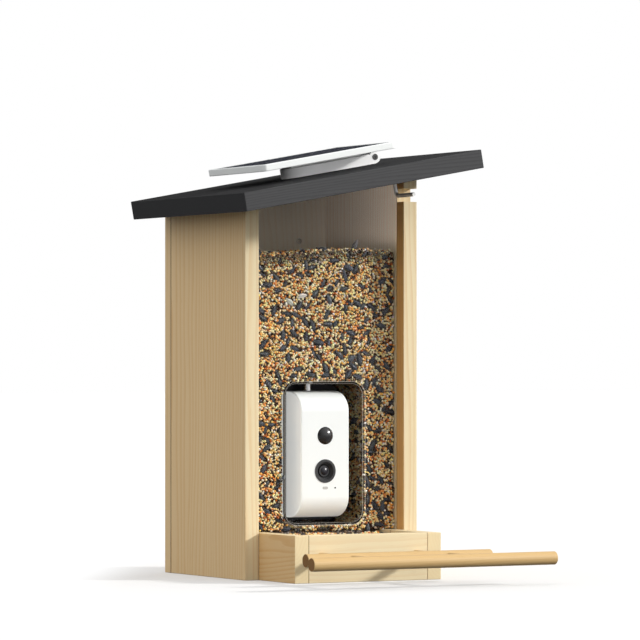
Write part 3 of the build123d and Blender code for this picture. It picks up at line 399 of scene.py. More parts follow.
LEVEL = (0, 0, 0)
GRAIN_UP = (0, 0, 0)
GRAIN_ACROSS = (0, math.radians(-90), 0)
GRAIN_BACK = (math.radians(90), 0, 0)
LEFTWARD = (-1, 0, 0)
RIGHTWARD = (1, 0, 0)
BACKWARD = (0, 1, 0)
FORWARD = (0, -1, 0)
UPWARD = (0, 0, 1)
PINE = ((0.83, 0.73, 0.50, 1), (0.72, 0.52, 0.27, 1), (0.79, 0.65, 0.40, 1))
PINE_END = (0.98, 0.93, 0.84, 1)
PINE_ROUGHNESS = 0.55
# Painted warm shade on the faces of the boards that look sideways and back
PAINTED_WARM_SHADE = (1.07, 0.925, 0.77, 1)
PAINTED_DEEP_WARM_SHADE = (1.05, 0.85, 0.64, 1)
# Painted warm shade on the right panel's inner face in front of the window
PAINTED_STRIP_SHADE = (0.78, 0.52, 0.26, 1)
# Painted light on the inner faces of the hopper, lighter and greyer than the wood
PAINTED_INNER_LIGHT = (1.12, 1.18, 1.4, 1)
WALL_HOLE_Z = 330 * MM
WALL_HOLES = ((-50 * MM, 0, WALL_HOLE_Z), (50 * MM, 0, WALL_HOLE_Z))
ALL_OVER = 1.0
left_low, left_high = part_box("left_side_panel")
front_board_low, front_board_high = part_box("tray_front_board")
window_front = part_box("clear_window")[0].y
rear_joint = ("Y", left_high.y, OPEN_JOINT)
tray_joint = ("Y", left_low.y, TIGHT_JOINT)
end_joints = (("X", front_board_low.x, TIGHT_JOINT), ("X", front_board_high.x, TIGHT_JOINT))

left_marks = {
    "tints": ((LEFTWARD, PAINTED_WARM_SHADE, ALL_OVER), (RIGHTWARD, PAINTED_INNER_LIGHT, ALL_OVER)),
    "joints": (rear_joint,),
}
right_marks = {
    "tints": (
        (LEFTWARD, PAINTED_INNER_LIGHT, ALL_OVER),
        (LEFTWARD, PAINTED_STRIP_SHADE, window_front),
        (RIGHTWARD, PAINTED_WARM_SHADE, ALL_OVER),
    )
}
back_marks = {
    "tints": (
        (LEFTWARD, PAINTED_WARM_SHADE, ALL_OVER),
        (RIGHTWARD, PAINTED_WARM_SHADE, ALL_OVER),
        (BACKWARD, PAINTED_WARM_SHADE, ALL_OVER),
        (FORWARD, PAINTED_INNER_LIGHT, ALL_OVER),
    ),
    "holes": WALL_HOLES,
}
tray_left_marks = {"tints": ((LEFTWARD, PAINTED_DEEP_WARM_SHADE, ALL_OVER),), "joints": (tray_joint,)}
tray_right_marks = {"tints": ((RIGHTWARD, PAINTED_WARM_SHADE, ALL_OVER),), "joints": (tray_joint,)}
front_marks = {"joints": end_joints}
# Each board with its grain's way, the tree's centre and lean, the rings' spacing in mm and strength
BOARDS = (
    ("left_side_panel", GRAIN_UP, (-0.06, -0.13, 0), LEVEL, 4.1, 0.7, left_marks),
    ("right_side_panel", GRAIN_UP, (0.075, -0.15, 0.4), LEVEL, 3.4, 0.7, right_marks),
    ("back_panel", GRAIN_UP, (0.02, -0.125, 0.9), (0.03, 0.02, 0), 4, 0.35, back_marks),
    ("tray_side_left", GRAIN_BACK, (0.105, 0.03, 0), (0.09, 0.05, 0), 3.2, 0.8, tray_left_marks),
    ("tray_side_right", GRAIN_BACK, (-0.11, 0.03, 0), (0.07, -0.06, 0), 3.2, 0.6, tray_right_marks),
    ("tray_front_board", GRAIN_ACROSS, (0.075, 0.21, 0.3), (0.02, 0.05, 0), 3.8, 0.4, front_marks),
    ("floor_panel", GRAIN_BACK, (0.02, 0.06, 0.5), (0.03, 0.04, 0), 4, 0.5, {}),
)
for board, turn, pith, tilt, spacing, strength, marks in BOARDS:
    tone = (PINE, PINE_END, spacing * MM, strength, PINE_ROUGHNESS)
    dress(wood(f"pine_{board}", turn, pith, tilt, *tone, **marks), board)

# Perch: turned ramin dowels, warmer and plainer than the boards, with dark sawn ends.
# Thin rods come out of the tray and run through a short bar into a long one.
RAMIN = ((0.64, 0.455, 0.22, 1), (0.50, 0.29, 0.10, 1), (0.60, 0.40, 0.165, 1))
RAMIN_END = (0.40, 0.27, 0.13, 1)
RAMIN_LINES = 1.6 * MM
RAMIN_LEVEL = 0.4
RAMIN_ROUGHNESS = 0.5
RAMIN_TILT = (0.01, 0.012, 0)


def dowel_wood(name, turn, pith):
    """Ramin for one dowel."""
    return wood(
        name, turn, pith, RAMIN_TILT, RAMIN, RAMIN_END, RAMIN_LINES, RAMIN_LEVEL, RAMIN_ROUGHNESS
    )


dress(dowel_wood("ramin_long_bar", GRAIN_ACROSS, (0.05, 0.26, 0)), "perch_bar_long")
dress(dowel_wood("ramin_short_bar", GRAIN_ACROSS, (0.045, 0.2, 0.7)), "perch_bar_short")
dress(
    dowel_wood("ramin_rods", GRAIN_BACK, (0.03, 0.05, 0)),
    "perch_rod_left",
    "perch_rod_right",
    "tray_dowels",
)

# Roof: one broad pine board with a dark grey stain, whose grain runs up the slope, on two hinges at
# the back. Its sawn ends drink more stain and are nearly black, and its top is darker than its edges
# with painted shade.
ROOF_PITCH = math.radians(10.3)
ROOF = ((0.084, 0.085, 0.088, 1), (0.036, 0.036, 0.038, 1), (0.066, 0.066, 0.069, 1))
ROOF_END = (0.46, 0.46, 0.47, 1)
ROOF_TOP_PAINTED_SHADE = (0.25, 0.25, 0.26, 1)
stained_roof = wood(
    "stained_roof",
    turn=(0, math.radians(-90) + ROOF_PITCH, 0),
    pith=(0.33, 0.02, 0),
    tilt=(0.02, 0.01, 0),
    colours=ROOF,
    end_colour=ROOF_END,
    ring_spacing=1 * MM,
    ring_level=0.4,
    roughness=0.75,
    gloss=0.12,
    tints=((UPWARD, ROOF_TOP_PAINTED_SHADE, ALL_OVER),),
)
dress(stained_roof, "roof_board")


# Steel and brass: hinges and wood screws are zinc-plated, cloudy and slightly worn, and the camera's
# sleeve, screws and socket are bright. The latch hook is bent from duller drawn wire.
CLOUD_SCALE = (420, 420, 420)
DRAWN_LINES = (2500, 2500, 120)
METAL_BUMP = 0.25
FINE_RELIEF = 0.04 * MM


def metal(name, colour, dark, roughness, lines_scale, scratches, metallic=1.0):
    """Bare or plated metal with a cloudy tone and fine lines."""
    material, tree, shader = new_finish(name)
    shader.inputs["Metallic"].default_value = metallic
    place = put(tree, "ShaderNodeTexCoord")
    clouds = stretched_noise(tree, place.outputs["Object"], CLOUD_SCALE, detail=3.0, roughness=0.6)
    lines = stretched_noise(tree, place.outputs["Object"], lines_scale, detail=2.0, roughness=0.7)
    tree.links.new(mix_colour(tree, clouds, colour, dark), shader.inputs["Base Color"])
    roughen(tree, shader, lines, scratches, roughness)
    emboss(tree, shader, lines, METAL_BUMP, FINE_RELIEF)
    return material


# Each metal's colour and darker tone, its roughness, and its lines' scale and depth
zinc = metal("zinc_plate", (0.62, 0.63, 0.64, 1), (0.46, 0.47, 0.5, 1), 0.38, (900, 900, 900), 0.2)
bright_steel = metal("bright_steel", (0.72, 0.72, 0.71, 1), (0.6, 0.6, 0.6, 1), 0.2, DRAWN_LINES, 0.12)
hook_steel = metal("hook_steel", (0.62, 0.62, 0.61, 1), (0.5, 0.5, 0.5, 1), 0.35, DRAWN_LINES, 0.12, 0.5)
brass = metal("brass", (0.78, 0.58, 0.27, 1), (0.66, 0.46, 0.19, 1), 0.3, (1500, 1500, 1500), 0.15)
dress(
    zinc,
    "back_screws",
    "tray_screws",
    "floor_screws",
    "hinge_leaves_fixed",
    "hinge_leaves_roof",
    "hinge_pins",
    "hinge_screws_fixed",
    "hinge_screws_roof",
    "solar_base_screws",
    "solar_arm_screws",
    "pivot_nut",
)
dress(
    bright_steel,
    "mount_sleeve",
    "mount_screw",
    "cover_screws",
    "dock_screws",
    "dock_nuts",
    "charging_socket",
)
dress(hook_steel, "latch_hook")
dress(brass, "thread_insert")


# Moulded plastics: satin white camera covers and solar frame, a light grey bracket, black parts round
# the lens, and rubber for the seal and the socket's cover. Each has the fine pebble of its mould.
BROAD_SCALE = (40, 40, 40)
PEBBLE_SCALE = (2600, 2600, 2600)
GLOSS_CHANGE = 0.12
PIT_RADIUS = 0.85 * MM
PIT_PAINTED_SHADE = (0.02, 0.02, 0.02, 1)


def moulded(name, colour, shade, roughness, pebble, pit=None):
    """Moulded plastic or rubber. A pit is the place of a small deep hole, whose wall and rim get painted
    shade.
    """
    material, tree, shader = new_finish(name)
    place = put(tree, "ShaderNodeTexCoord")
    broad = stretched_noise(tree, place.outputs["Object"], BROAD_SCALE, detail=2.0)
    fine = stretched_noise(tree, place.outputs["Object"], PEBBLE_SCALE, detail=1.0)
    skin = mix_colour(tree, broad, colour, shade)
    if pit:
        skin = mix_colour(tree, round_spot(tree, place, pit, PIT_RADIUS), skin, PIT_PAINTED_SHADE)
    tree.links.new(skin, shader.inputs["Base Color"])
    roughen(tree, shader, broad, GLOSS_CHANGE, roughness)
    emboss(tree, shader, fine, pebble, FINE_RELIEF)
    return material


WHITE = (0.88, 0.905, 0.90, 1)
WHITE_SHADE = (0.86, 0.885, 0.88, 1)
WHITE_ROUGHNESS = 0.36
WHITE_PEBBLE = 0.25
SHELL_PIECES = ("camera_rear_cover", "solar_frame", "power_button")
SATIN_PIECES = ("lens_bezel", "lens_barrel")
MATT_PIECES = ("camera_dock", "battery_cradle", "junction_box", "power_switch", "microphone")
RUBBER_PIECES = ("cover_seal", "charging_socket_cover")
microphone_low, microphone_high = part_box("microphone")
microphone_middle = (microphone_low + microphone_high) / 2
microphone_pit = (microphone_middle.x, 0, microphone_middle.z)
white_front = moulded(
    "white_front", WHITE, WHITE_SHADE, WHITE_ROUGHNESS, WHITE_PEBBLE, pit=microphone_pit
)
dress(white_front, "camera_front_cover")
# Each plastic's colour and shade, its roughness, the strength of its pebble, and its pieces
PLASTICS = (
    ("white_shell", WHITE, WHITE_SHADE, WHITE_ROUGHNESS, WHITE_PEBBLE, SHELL_PIECES),
    ("grey_bracket", (0.90, 0.90, 0.90, 1), (0.86, 0.86, 0.86, 1), 0.42, 0.35, ("solar_base", "solar_arm")),
    ("smoke_window", (0.52, 0.52, 0.51, 1), (0.46, 0.46, 0.45, 1), 0.25, 0.1, ("indicator_window",)),
    ("black_gloss", (0.010, 0.010, 0.011, 1), (0.014, 0.014, 0.015, 1), 0.2, 0.05, ("motion_sensor_dome",)),
    ("black_satin", (0.028, 0.028, 0.030, 1), (0.036, 0.036, 0.038, 1), 0.28, 0.2, SATIN_PIECES),
    ("black_matt", (0.012, 0.012, 0.013, 1), (0.018, 0.018, 0.019, 1), 0.5, 0.4, MATT_PIECES),
    ("grey_rubber", (0.10, 0.10, 0.105, 1), (0.13, 0.13, 0.135, 1), 0.68, 0.6, RUBBER_PIECES),
    ("pivot_black", (0.05, 0.05, 0.052, 1), (0.08, 0.08, 0.08, 1), 0.4, 0.3, ("pivot_screw",)),
    ("cell_sleeve", (0.05, 0.16, 0.28, 1), (0.04, 0.13, 0.24, 1), 0.3, 0.15, ("battery_cells",)),
    ("sensor_can", (0.30, 0.30, 0.31, 1), (0.24, 0.24, 0.25, 1), 0.35, 0.2, ("motion_sensor",)),
    ("coated_lens", (0.006, 0.006, 0.010, 1), (0.010, 0.008, 0.016, 1), 0.3, 0.02, ("lens_glass",)),
)
for name, colour, shade, roughness, pebble, pieces in PLASTICS:
    dress(moulded(name, colour, shade, roughness, pebble), *pieces)


# Clear acrylic: the hopper's window, one sheet in grooves of the side panels with the camera pocket
# moulded in it, and the solar panel's cover. Light from lamps and from the pieces behind goes straight
# through. The window gives off painted highlights on its rim and sawn top edge, and a painted
# reflection of the pale room on its upper front.
# Painted highlights on the rim and the top edge, and a painted reflection of the room on the upper front
RIM_STOPS = [(0.25, 0.0), (0.4, 1.0), (0.55, 0.0), (0.86, 0.0), (0.93, 1.0), (0.98, 0.0)]
PAINTED_RIM_HIGHLIGHT = (0.34, 0.31, 0.27, 1)
SQUARE_ON = 0.9
PAINTED_ROOM_REFLECTION = (0.096, 0.077, 0.063, 1)
VEIL_LOW = 312 * MM
VEIL_HIGH = 335 * MM
VEIL_HALF_X = 80 * MM
VEIL_GROWTH = 2.7
VEIL_LEAST = 0.105
HAZE_SCALE = (60, 60, 60)
HAZE = 0.02


def painted_window_light(tree, place):
    """Painted light that the window gives off: painted highlights in two thin lines where the rim turns
    from the front into the pocket and on the sawn top edge, and a painted reflection of the room on the
    upper front that grows to the right."""
    facing = put(tree, "ShaderNodeSeparateXYZ", {0: place.outputs["Normal"]})
    spot = put(tree, "ShaderNodeSeparateXYZ", {0: place.outputs["Object"]})
    frontal = calculate(tree, "MULTIPLY", facing.outputs["Y"], -1.0)
    lines = stepped_ramp(tree, frontal, RIM_STOPS)
    upward = calculate(tree, "GREATER_THAN", facing.outputs["Z"], SQUARE_ON)
    high_up = calculate(tree, "GREATER_THAN", spot.outputs["Z"], VEIL_LOW)
    bright = calculate(tree, "MAXIMUM", lines, calculate(tree, "MULTIPLY", upward, high_up))
    painted_highlights = mix_colour(tree, bright, (0, 0, 0, 1), PAINTED_RIM_HIGHLIGHT)
    rise = run_of(tree, spot.outputs["Z"], VEIL_LOW, VEIL_HIGH, interpolation="SMOOTHSTEP")
    rightward = run_of(tree, spot.outputs["X"], -VEIL_HALF_X, VEIL_HALF_X)
    growth = calculate(tree, "POWER", rightward, VEIL_GROWTH)
    share = calculate(tree, "MULTIPLY_ADD", growth, 1 - VEIL_LEAST, VEIL_LEAST)
    forward = calculate(tree, "GREATER_THAN", frontal, SQUARE_ON)
    painted_reflection_share = calculate(tree, "MULTIPLY", calculate(tree, "MULTIPLY", rise, share), forward)
    return mix_colour(tree, painted_reflection_share, painted_highlights, PAINTED_ROOM_REFLECTION)


def acrylic(name, tint, bend, lit=False):
    """Clear sheet that bends light as much as a thin wall does, and lets lamp light through."""
    material, tree, shader = new_finish(name)
    shader.inputs["Base Color"].default_value = tint
    shader.inputs["Transmission Weight"].default_value = 1.0
    shader.inputs["IOR"].default_value = bend
    place = put(tree, "ShaderNodeTexCoord")
    haze = stretched_noise(tree, place.outputs["Object"], HAZE_SCALE, detail=3.0)
    roughen(tree, shader, haze, HAZE, HAZE / 2)
    # Painted highlights and painted reflection, given off as light
    if lit:
        tree.links.new(painted_window_light(tree, place), shader.inputs["Emission Color"])
        shader.inputs["Emission Strength"].default_value = 1.0
    clear = put(tree, "ShaderNodeBsdfTransparent", {"Color": tint})
    rays = put(tree, "ShaderNodeLightPath")
    through = calculate(tree, "MAXIMUM", rays.outputs["Is Shadow Ray"], rays.outputs["Is Diffuse Ray"])
    pane = put(tree, "ShaderNodeMixShader", {0: through, 1: shader.outputs[0], 2: clear.outputs[0]})
    tree.links.new(pane.outputs[0], tree.nodes["Material Output"].inputs["Surface"])
    return material


WINDOW_BEND = 1.16
COVER_BEND = 1.002
dress(acrylic("clear_window", (0.985, 0.985, 0.98, 1), WINDOW_BEND, lit=True), "clear_window")
dress(acrylic("clear_cover", (0.98, 0.98, 0.985, 1), COVER_BEND), "solar_cover")


# Solar cells: near-black silicon strips with fine silver fingers and wider busbars, on their board
# under the clear cover. The pattern follows the panel, which lies along the roof's slope.
CELL_PITCH = 26.5 * MM
GAP_SHARE = 0.035
BUSBAR_SHARE = 0.045
FINGER_PITCH = 2.2 * MM
FINGER_SHARE = 0.09
FINGER_LEVEL = 0.4
WAFER = (0.008, 0.010, 0.020, 1)
WAFER_PALE = (0.016, 0.018, 0.032, 1)
FINGER_SILVER = (0.12, 0.125, 0.13, 1)
BUSBAR_SILVER = (0.30, 0.30, 0.30, 1)
GAP_BLACK = (0.012, 0.012, 0.013, 1)
MOTTLE_SCALE = (900, 900, 900)


def stripes(tree, value, pitch, share):
    """Thin lines at a pitch: 1 on a line and 0 between."""
    inside = calculate(tree, "FRACT", calculate(tree, "DIVIDE", value, pitch))
    return calculate(tree, "LESS_THAN", inside, share)


silicon, tree, shader = new_finish("silicon_cells")
shader.inputs["Specular IOR Level"].default_value = 0.0
place = put(tree, "ShaderNodeTexCoord")
flat = put(
    tree, "ShaderNodeMapping", {"Vector": place.outputs["Object"], "Rotation": (0, ROOF_PITCH, 0)}
)
parts = put(tree, "ShaderNodeSeparateXYZ", {0: flat.outputs[0]})
gaps = stripes(tree, parts.outputs["X"], CELL_PITCH, GAP_SHARE)
busbars = stripes(tree, parts.outputs["Y"], CELL_PITCH, BUSBAR_SHARE)
fingers = stripes(tree, parts.outputs["X"], FINGER_PITCH, FINGER_SHARE)
mottle = stretched_noise(tree, place.outputs["Object"], MOTTLE_SCALE, detail=2.0)
wafer = mix_colour(tree, mottle, WAFER, WAFER_PALE)
lined = mix_colour(tree, calculate(tree, "MULTIPLY", fingers, FINGER_LEVEL), wafer, FINGER_SILVER)
barred = mix_colour(tree, busbars, lined, BUSBAR_SILVER)
tree.links.new(mix_colour(tree, gaps, barred, GAP_BLACK), shader.inputs["Base Color"])
roughen(tree, shader, mottle, change=0.15, middle=0.325)
dress(silicon, "solar_cells")

# Main board: green solder mask over copper tracks, with bare pads.
# It lies behind the camera's front and shows when the covers come apart.
TRACK_SCALE = 260.0
TRACK_WIDTH = 0.06
PAD_SCALE = 330.0
PAD_WIDTH = 0.17
MASK_GREEN = (0.012, 0.10, 0.045, 1)
TRACK_GREEN = (0.03, 0.20, 0.08, 1)
PAD_GOLD = (0.62, 0.52, 0.28, 1)
solder_mask, tree, shader = new_finish("solder_mask")
shader.inputs["Coat Weight"].default_value = 0.5
place = put(tree, "ShaderNodeTexCoord")
tracks = put(
    tree,
    "ShaderNodeTexVoronoi",
    {"Vector": place.outputs["Object"], "Scale": TRACK_SCALE, "Randomness": 0.55},
    feature="DISTANCE_TO_EDGE",
)
track_mask = calculate(tree, "LESS_THAN", tracks.outputs["Distance"], TRACK_WIDTH)
dots = put(
    tree,
    "ShaderNodeTexVoronoi",
    {"Vector": place.outputs["Object"], "Scale": PAD_SCALE, "Randomness": 0.4},
)
pad_mask = calculate(tree, "LESS_THAN", dots.outputs["Distance"], PAD_WIDTH)
tracked = mix_colour(tree, track_mask, MASK_GREEN, TRACK_GREEN)
tree.links.new(mix_colour(tree, pad_mask, tracked, PAD_GOLD), shader.inputs["Base Color"])
roughen(tree, shader, pad_mask, change=-0.15, middle=0.325)
emboss(tree, shader, track_mask, strength=0.5, distance=0.05 * MM)
dress(solder_mask, "main_board")

# Seed: millet grains and black sunflower seeds, poured loose against the window, round the camera
# pocket and into the tray. One of each is modelled, and copies of it lie tumbled over each face.
RANDOM_START = 20
MILLET_RADIUS = 1.28 * MM
MILLET_SHAPE = (1.28, 0.98, 0.78)
SUNFLOWER_HALF = 5.6 * MM
SUNFLOWER_WIDE = 0.5
SUNFLOWER_THICK = 0.28
TIP_FROM = 0.3 * SUNFLOWER_HALF
TIP_REACH = 0.06 * SUNFLOWER_HALF
TIP_SHAPE = (0.72, 0.8, 1.0)
STRIPE_COUNT = 4
chance = np.random.default_rng(RANDOM_START)


def template(piece):
    """A modelled seed's corners and triangles, after which the seed itself is put away."""
    points = np.array([v.co for v in piece.data.vertices])
    piece.data.calc_loop_triangles()
    faces = np.array([t.vertices for t in piece.data.loop_triangles])
    bpy.data.objects.remove(piece)
    return points, faces


bpy.ops.object.select_all(action="DESELECT")
bpy.ops.mesh.primitive_ico_sphere_add(subdivisions=1, radius=MILLET_RADIUS)
millet = bpy.context.object
bpy.ops.object.mode_set(mode="EDIT")
bpy.ops.mesh.select_all(action="SELECT")
bpy.ops.transform.resize(value=MILLET_SHAPE)
bpy.ops.object.mode_set(mode="OBJECT")
millet_points, millet_faces = template(millet)

bpy.ops.object.select_all(action="DESELECT")
bpy.ops.mesh.primitive_uv_sphere_add(segments=8, ring_count=8, radius=SUNFLOWER_HALF)
sunflower = bpy.context.object
bpy.ops.object.mode_set(mode="EDIT")
bpy.ops.mesh.select_all(action="SELECT")
bpy.ops.transform.resize(value=(SUNFLOWER_WIDE, SUNFLOWER_THICK, 1.0))
bpy.ops.mesh.select_all(action="DESELECT")
bpy.ops.object.mode_set(mode="OBJECT")
for vertex in sunflower.data.vertices:
    vertex.select = vertex.co.z > TIP_FROM
bpy.ops.object.mode_set(mode="EDIT")
bpy.ops.transform.resize(value=TIP_SHAPE)
bpy.ops.transform.translate(value=(0, 0, TIP_REACH))
bpy.ops.object.mode_set(mode="OBJECT")
sunflower_points, sunflower_faces = template(sunflower)
around = np.arctan2(sunflower_points[:, 1] / SUNFLOWER_THICK, sunflower_points[:, 0] / SUNFLOWER_WIDE)
sunflower_stripe = 0.5 + 0.5 * np.cos(STRIPE_COUNT * around)


def tumbled(count):
    """Random turns, as matrices."""
    q = chance.normal(size=(count, 4))
    q /= np.linalg.norm(q, axis=1)[:, None]
    w, x, y, z = q.T
    rows = [
        [1 - 2 * (y * y + z * z), 2 * (x * y - z * w), 2 * (x * z + y * w)],
        [2 * (x * y + z * w), 1 - 2 * (x * x + z * z), 2 * (y * z - x * w)],
        [2 * (x * z - y * w), 2 * (y * z + x * w), 1 - 2 * (x * x + y * y)],
    ]
    return np.moveaxis(np.array(rows), 2, 0)


def poured(name, seed, centres, turns, sizes, seed_tints):
    """One piece that holds a copy of a seed at each place, with its own tint."""
    points, faces, stripe, skin = seed
    count = len(centres)
    moved = np.einsum("kij,nj->kni", turns * sizes[:, None, None], points) + centres[:, None, :]
    corners = faces[None, :, :] + (np.arange(count) * len(points))[:, None, None]
    mesh = bpy.data.meshes.new(name)
    mesh.vertices.add(count * len(points))
    mesh.vertices.foreach_set("co", moved.astype(np.float32).ravel())
    mesh.loops.add(corners.size)
    mesh.loops.foreach_set("vertex_index", corners.astype(np.int32).ravel())
    mesh.polygons.add(count * len(faces))
    mesh.polygons.foreach_set("loop_start", np.arange(0, corners.size, 3, dtype=np.int32))
    mesh.polygons.foreach_set("use_smooth", np.ones(count * len(faces), dtype=bool))
    mesh.update(calc_edges=True)
    mesh.validate()
    colours = np.ones((count, len(points), 4), np.float32)
    colours[:, :, :3] = seed_tints[:, None, :]
    tint = mesh.color_attributes.new("tint", "FLOAT_COLOR", "POINT")
    tint.data.foreach_set("color", colours.ravel())
    band = mesh.attributes.new("stripe", "FLOAT", "POINT")
    band.data.foreach_set("value", np.tile(stripe, count).astype(np.float32))
    mesh.materials.append(skin)
    piece = bpy.data.objects.new(name, mesh)
    scene.collection.objects.link(piece)
    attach(piece, "body")
    return piece


# Seed husks: millet is waxy and goes from cream through gold to red-brown and black, and sunflower
# husks are slate black with faint pale stripes. Each seed has its own tint.
HUSK_SCALE = (1800, 1800, 1800)
HUSK_GLOSS = 0.3
BLOTCH = (0.25, 0.13, 0.05, 1)
BLOTCH_LEVEL = 0.2
STRIPE = (0.07, 0.08, 0.10, 1)


def husk(name, roughness, stripe_level):
    """A seed's skin, which reads the tint and the stripe that each seed carries."""
    material, tree, shader = new_finish(name)
    shader.inputs["Specular IOR Level"].default_value = HUSK_GLOSS
    tint = put(tree, "ShaderNodeAttribute", attribute_name="tint")
    band = put(tree, "ShaderNodeAttribute", attribute_name="stripe")
    place = put(tree, "ShaderNodeTexCoord")
    skin = stretched_noise(tree, place.outputs["Object"], HUSK_SCALE, detail=2.0)
    blotches = calculate(tree, "MULTIPLY", skin, BLOTCH_LEVEL)
    mottled = mix_colour(tree, blotches, tint.outputs["Color"], BLOTCH, "MULTIPLY")
    striped = calculate(tree, "MULTIPLY", band.outputs["Fac"], stripe_level)
    tree.links.new(mix_colour(tree, striped, mottled, STRIPE), shader.inputs["Base Color"])
    roughen(tree, shader, skin, change=0.2, middle=roughness)
    emboss(tree, shader, skin, strength=0.3, distance=0.1 * MM)
    return material


millet_skin = husk("millet_skin", roughness=0.36, stripe_level=0.0)
sunflower_skin = husk("sunflower_skin", roughness=0.7, stripe_level=0.5)
millet_seed = (millet_points, millet_faces, np.zeros(len(millet_points)), millet_skin)
sunflower_seed = (sunflower_points, sunflower_faces, sunflower_stripe, sunflower_skin)
MILLET_TINTS = np.array(
    [
        (1.0, 0.85, 0.52),
        (1.0, 0.67, 0.28),
        (0.98, 0.43, 0.10),
        (0.55, 0.16, 0.03),
        (0.05, 0.017, 0.007),
        (1.0, 0.96, 0.88),
    ]
)
MILLET_SHARES = np.array([0.31, 0.25, 0.15, 0.10, 0.12, 0.07])
SUNFLOWER_TINTS = np.array(
    [(0.030, 0.035, 0.046), (0.018, 0.019, 0.024), (0.050, 0.056, 0.070), (0.80, 0.76, 0.68)]
)
SUNFLOWER_SHARES = np.array([0.5, 0.3, 0.18, 0.02])
LEAST_TINT = (0.96, 0.88, 0.78)
MOST_TINT = (1.04, 1.08, 1.15)
TONES = (0.74, 1.26)


def tints(palette, shares, count):
    """Each seed's own tint: one of a few colours, a little lighter or darker."""
    picked = palette[chance.choice(len(palette), size=count, p=shares / shares.sum())]
    hues = chance.uniform(LEAST_TINT, MOST_TINT, size=(count, 3))
    return np.clip(picked * (hues * chance.uniform(*TONES, size=(count, 1))), 0, 1)


# A face of poured seed: sunflower seeds lie flat, well apart, and the millet fills the room between
# them in two layers, the under one in the shade of the upper.
MILLET_PITCH = 2.25 * MM
ROW_SHARE = 0.87
MILLET_JITTER = 0.85 * MM
MILLET_MARGIN = 1.1 * MM
MILLET_SIZES = (0.82, 1.12)
LEAST_DEPTH = 1.15 * MM
UNDER_SHADE = 0.16
# Each layer's depth under the face and how far that varies, both in mm, and its shade
LAYERS = ((1.3, 0.55, 1.0), (3.1, 0.5, UNDER_SHADE))
SUNFLOWER_APART = 6.6 * MM
SUNFLOWER_MARGIN = 0.55 * SUNFLOWER_HALF
SUNFLOWER_ROOM = 1.15
SUNFLOWER_SIZES = (0.7, 1.12)
SUNFLOWER_DEPTHS = (1.9, 2.9)
SUNFLOWER_ROCK = 0.16
TRIES_EACH = 40


def lattice(wide, tall, pitch, jitter):
    """Places on a close-packed grid, each moved a little at random, from 0 to the two sizes."""
    rows = int(tall / (pitch * ROW_SHARE)) + 1
    columns = int(wide / pitch) + 1
    u = np.tile(np.arange(columns) * pitch, (rows, 1)) + (np.arange(rows) % 2)[:, None] * pitch / 2
    v = np.tile((np.arange(rows) * pitch * ROW_SHARE)[:, None], (1, columns))
    grid = np.stack([u.ravel(), v.ravel()], axis=1)
    return grid + chance.uniform(-jitter, jitter, size=grid.shape)


def unit(vectors):
    """Vectors that point the same ways, each with a length of 1."""
    return vectors / np.linalg.norm(vectors, axis=1)[:, None]


